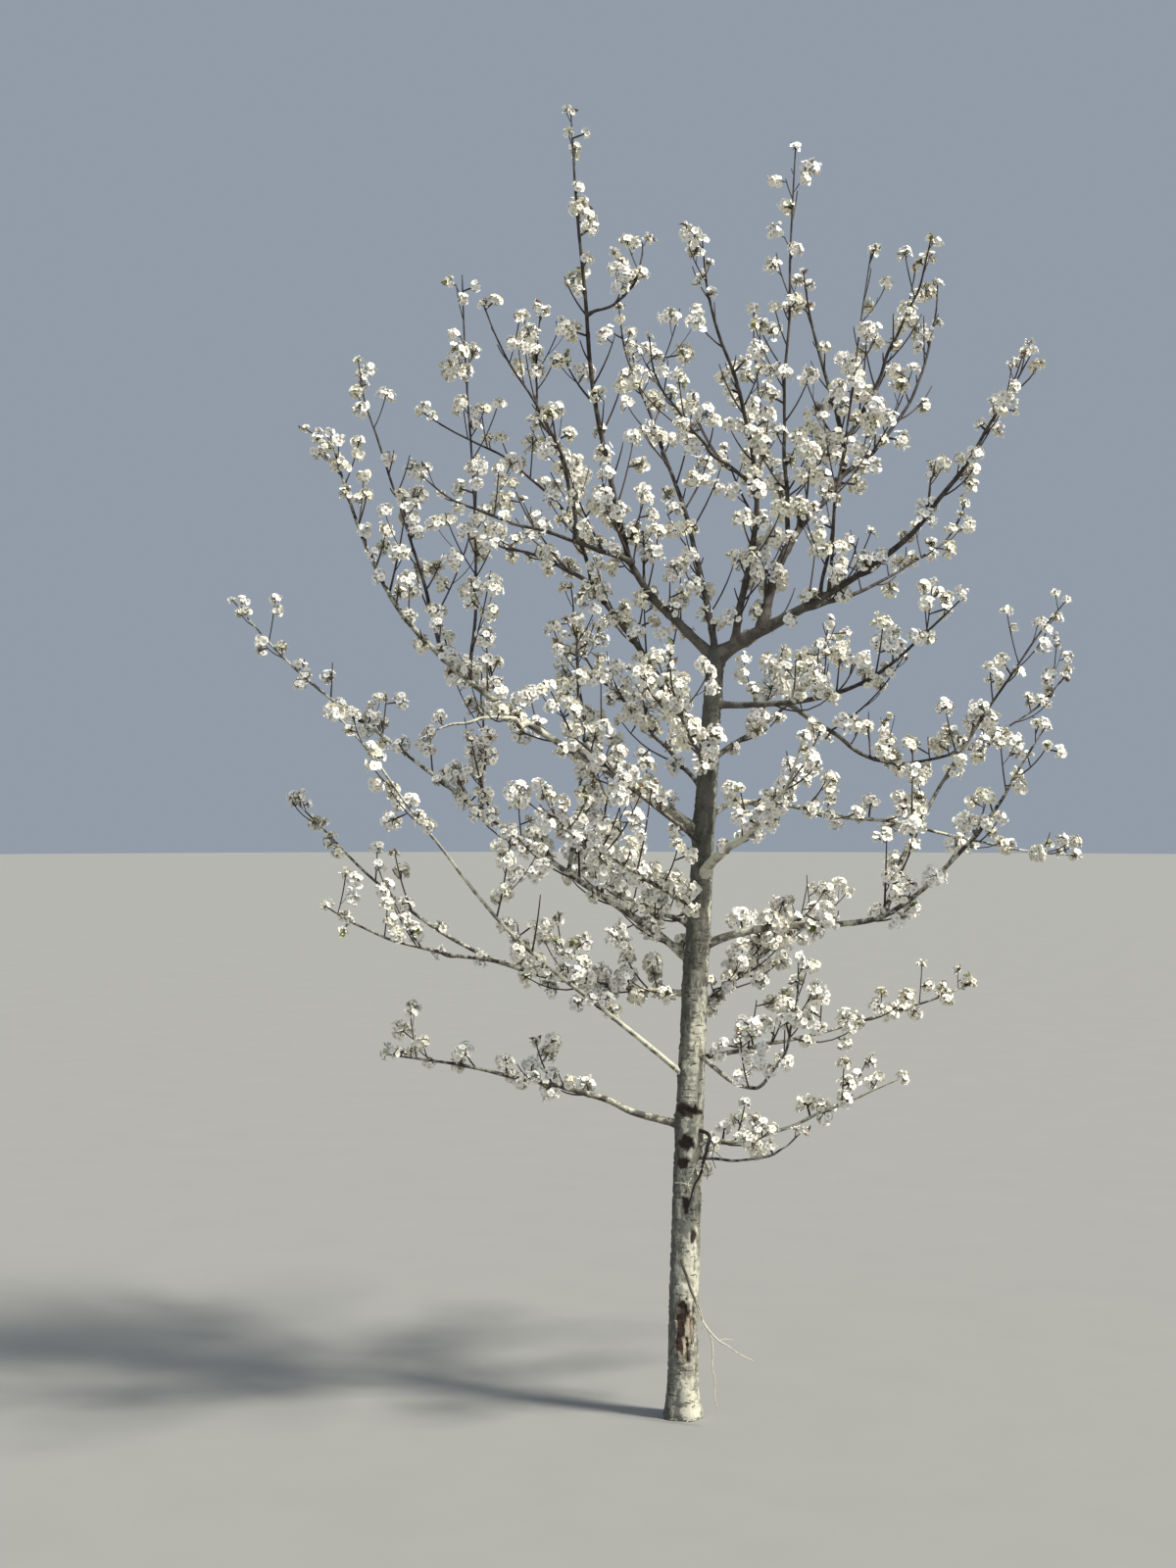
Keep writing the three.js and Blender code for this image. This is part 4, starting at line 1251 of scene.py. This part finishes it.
class Flowers:
    """Every flower of the tree: where it sits, which way it faces, its width, stage, tint and stalk."""

    def __init__(self, width):
        rows = growth().clusters
        draw = np.random.default_rng(SEEDS.finer)
        tips, facings = self.ends(rows), np.array([row.facing for row in rows])
        size = np.array([row.size for row in rows])
        count = np.maximum(5, np.round(CLUSTER.flowers * size)).astype(int)
        owner = np.repeat(np.arange(len(rows)), count)
        index = np.concatenate([np.arange(n) for n in count])
        side, other = frames(facings, draw.uniform(0, TAU, len(rows)))
        lean = np.arccos(1 - (index + 0.5) / count[owner] * (1 - math.cos(CLUSTER.spread)))
        around = index * GOLDEN_ANGLE
        aside = side[owner] * np.cos(around)[:, None] + other[owner] * np.sin(around)[:, None]
        away = facings[owner] * np.cos(lean)[:, None] + aside * np.sin(lean)[:, None]
        away = unit(away + draw.normal(0, 0.12, away.shape))
        self.stalk_from = tips[owner]
        self.away = away
        self.stalk = size[owner] * draw.uniform(0.62, 1.05, len(owner))
        self.at = self.stalk_from + away * self.stalk[:, None]
        self.facing = unit(away + draw.normal(0, 0.38, away.shape) + 0.12 * UP)
        young = 1 - smooth(0.6 * CLUSTER.smallest, CLUSTER.smallest, size[owner])
        self.radius = (1 - 0.25 * young) * width / 2 * draw.uniform(0.85, 1.12, len(owner))
        self.spin = draw.uniform(0, TAU, len(owner))
        shares = np.cumsum([share for share, _ in FLOWER_STAGES])
        self.stage = np.searchsorted(shares, draw.uniform(0, 0.999, len(owner)) * (1 - 0.75 * young))
        self.tint = np.searchsorted(np.cumsum(TINTS), draw.uniform(0, 0.999, len(rows)))[owner]

    @staticmethod
    def ends(rows):
        """Where each cluster's spur ends."""
        return np.array([row.base + row.facing * row.spur for row in rows])

    def placed(self, form, chosen, scale):
        """A form's vertices at the chosen flowers, so many times the flowers' radius."""
        side, other = frames(self.facing[chosen], self.spin[chosen])
        scale = (scale * self.radius[chosen])[:, None]
        return copies(form, self.at[chosen], side * scale, other * scale, self.facing[chosen] * scale)


class PEAR_OT_flowers(bpy.types.Operator):
    """Makes the flowers: petals, anthers, centres and stalks, cluster by cluster"""

    bl_idname = "pear.flowers"
    bl_label = "Flowers"

    def execute(self, context):
        blossom = context.scene.pear_blossom
        flowers = Flowers(blossom.flower_width / MM)
        open_stages = [(i, petals(*shape)) for i, (_, shape) in enumerate(FLOWER_STAGES) if shape != "bud"]
        closed, ring, middle, stalk = bud(), anthers(), flower_centre(), flower_stalk()
        tints = (("white", blossom.white), ("cream", blossom.cream), ("shell", blossom.shell))
        for tint_index, (name, colour) in enumerate(tints):
            pile = Pile()
            for stage, form in open_stages:
                chosen = (flowers.stage == stage) & (flowers.tint == tint_index)
                inner = 1 - smooth(0.1, 0.6, np.linalg.norm(form.vertices[:, :2], axis=1))
                pile.add(form, flowers.placed(form, chosen, 1), inner=inner)
            chosen = (flowers.stage == 0) & (flowers.tint == tint_index)
            pile.add(closed, flowers.placed(closed, chosen, 0.62), inner=0)
            finish = soft_finish(f"{name}_petals", colour, blossom.shell, 0.62)
            pile.piece(f"{name}_petals", finish, "blossom", MASS_NODES)
        opened = flowers.stage > 0
        old = flowers.tint == 2
        for name, chosen, colour in (
            ("anthers", opened & ~old, blossom.anther), ("spent_anthers", opened & old, blossom.pollen),
        ):
            soft_piece(name, ring, flowers.placed(ring, chosen, 1), colour, blossom.pollen, 0.7)
        placed = flowers.placed(middle, opened, 1)
        soft_piece("flower_centres", middle, placed, blossom.centre, blossom.stalk, 0.6)
        placed = copies(
            stalk, flowers.stalk_from, *frames(flowers.away, flowers.spin), flowers.away * flowers.stalk[:, None],
        )
        soft_piece("flower_stalks", stalk, placed, blossom.stalk, blossom.bronze, 0.6)
        return {"FINISHED"}


# A young leaf's least and greatest length, and a bare bud's width and length
LEAF_LENGTH = (14, 30)
BARE_BUD = (4.4, 9)


class PEAR_OT_leaves(bpy.types.Operator):
    """Makes the few young leaves among the clusters, and the buds on the bare ends"""

    bl_idname = "pear.leaves"
    bl_label = "Leaves and buds"

    def execute(self, context):
        blossom = context.scene.pear_blossom
        tree = growth()
        draw = np.random.default_rng(SEEDS.finer + 1)
        ends = Flowers.ends(tree.clusters)
        facings = np.array([row.facing for row in tree.clusters])
        form = leaf()
        young = np.array([row.size < 0.75 * CLUSTER.smallest for row in tree.clusters])
        for name, colour, share, more in (
            ("young_leaves", blossom.leaf, 0.15, 0), ("bronze_leaves", blossom.bronze, 0.08, 0.5),
        ):
            chosen = np.repeat(np.flatnonzero(draw.random(len(ends)) < share + more * young), 2)
            away = unit(facings[chosen] + draw.normal(0, 0.8, (len(chosen), 3)))
            side, other = frames(away, draw.uniform(0, TAU, len(chosen)))
            length = draw.uniform(*LEAF_LENGTH, len(chosen))[:, None]
            placed = copies(form, ends[chosen], away * length, side * length, other * length)
            soft_piece(name, form, placed, colour, blossom.stalk, 0.5)
        pile = Pile()
        form = bud()
        tips = np.array([line.points[-1] for line in tree.ends])
        along = unit(np.array([line.points[-1] - line.points[-2] for line in tree.ends]))
        side, other = frames(along, np.zeros(len(tips)))
        width, length = BARE_BUD
        pile.add(form, copies(form, tips - along, side * width, other * width, along * length))
        pile.piece("bare_buds", twig_finish(context.scene.pear_bark), "bark", MASS_NODES)
        return {"FINISHED"}


# Where the lights come from, their colours, and how wide the fills look
KEY_FROM, LEFT_FILL_FROM, BACK_FILL_FROM = (0.80, -0.36, 1.0), (-0.6, -0.8, 0.5), (0.1, 1, 0.6)
KEY_COLOUR, FILL_COLOUR = (1.0, 0.972, 0.875), (0.9, 0.95, 1.0)
WIDE = math.radians(100)

# The round floor in metres, just under the cut, and how far the camera sees
FLOOR = SimpleNamespace(radius=60, sides=96, under=0.001)
FAR = 200


class PEAR_OT_stage(bpy.types.Operator):
    """Sets the floor, the light and the camera at the photograph's view"""

    bl_idname = "pear.stage"
    bl_label = "Stage"

    def execute(self, context):
        scene, stage = context.scene, context.scene.pear_stage
        bm = bmesh.new()
        bmesh.ops.create_circle(bm, cap_ends=True, cap_tris=True, segments=FLOOR.sides, radius=FLOOR.radius)
        bmesh.ops.translate(bm, verts=bm.verts, vec=(0, 0, -FLOOR.under))
        mesh = bpy.data.meshes.new("floor")
        bm.to_mesh(mesh)
        bm.free()
        mesh.materials.append(floor_finish(stage.floor))
        floor = bpy.data.objects.new("floor", mesh)
        scene.collection.objects.link(floor)

        world = bpy.data.worlds.new("studio_air")
        world.use_nodes = True
        background = world.node_tree.nodes["Background"]
        background.inputs["Color"].default_value = (*stage.air, 1)
        scene.world = world

        for name, away, strength, softness, colour in (
            ("key", KEY_FROM, stage.key, stage.softness, KEY_COLOUR),
            ("left_fill", LEFT_FILL_FROM, stage.fill, WIDE, FILL_COLOUR),
            ("back_fill", BACK_FILL_FROM, stage.fill / 2, WIDE, FILL_COLOUR),
        ):
            light = bpy.data.lights.new(name, "SUN")
            light.energy, light.angle, light.color = strength, softness, colour
            lamp = bpy.data.objects.new(name, light)
            lamp.rotation_euler = Vector(away).to_track_quat("Z", "Y").to_euler()
            scene.collection.objects.link(lamp)

        lens = bpy.data.cameras.new("camera")
        lens.sensor_fit = "AUTO"
        lens.sensor_width = lens.sensor_height = PICTURE.sensor
        lens.lens = PICTURE.sensor * PICTURE.focal / PICTURE.height
        lens.clip_end = FAR
        camera = bpy.data.objects.new("camera", lens)
        camera.location = (EYE.across * MM, -EYE.distance * MM, EYE.up * MM)
        camera.rotation_euler = (math.pi / 2, 0, 0)
        scene.collection.objects.link(camera)
        scene.camera = camera
        scene.view_settings.view_transform = "Standard"
        return {"FINISHED"}


PARTS = (
    PEAR_OT_trunk, PEAR_OT_boughs, PEAR_OT_twigs, PEAR_OT_dead_wood, PEAR_OT_flowers, PEAR_OT_leaves,
    PEAR_OT_stage,
)
SETTINGS = {"pear_bark": BarkSettings, "pear_blossom": BlossomSettings, "pear_stage": StageSettings}


class PEAR_PT_sidebar(bpy.types.Panel):
    """The tree's settings, and a button for each of its parts"""

    bl_idname = "PEAR_PT_sidebar"
    bl_label = "Pear Tree"
    bl_space_type = "VIEW_3D"
    bl_region_type = "UI"
    bl_category = "Pear Tree"

    def draw(self, context):
        for name, kind in SETTINGS.items():
            box = self.layout.box()
            for setting in kind.__annotations__:
                box.prop(getattr(context.scene, name), setting)
        for part in PARTS:
            self.layout.operator(part.bl_idname)


CLASSES = (*SETTINGS.values(), *PARTS, PEAR_PT_sidebar)


def register():
    for kind in CLASSES:
        bpy.utils.register_class(kind)
    for name, kind in SETTINGS.items():
        setattr(bpy.types.Scene, name, bpy.props.PointerProperty(type=kind))


def unregister():
    for name in SETTINGS:
        delattr(bpy.types.Scene, name)
    for kind in reversed(CLASSES):
        bpy.utils.unregister_class(kind)


def main():
    register()
    for part in PARTS:
        group, name = part.bl_idname.split(".")
        getattr(getattr(bpy.ops, group), name)()


if __name__ == "__main__":
    main()
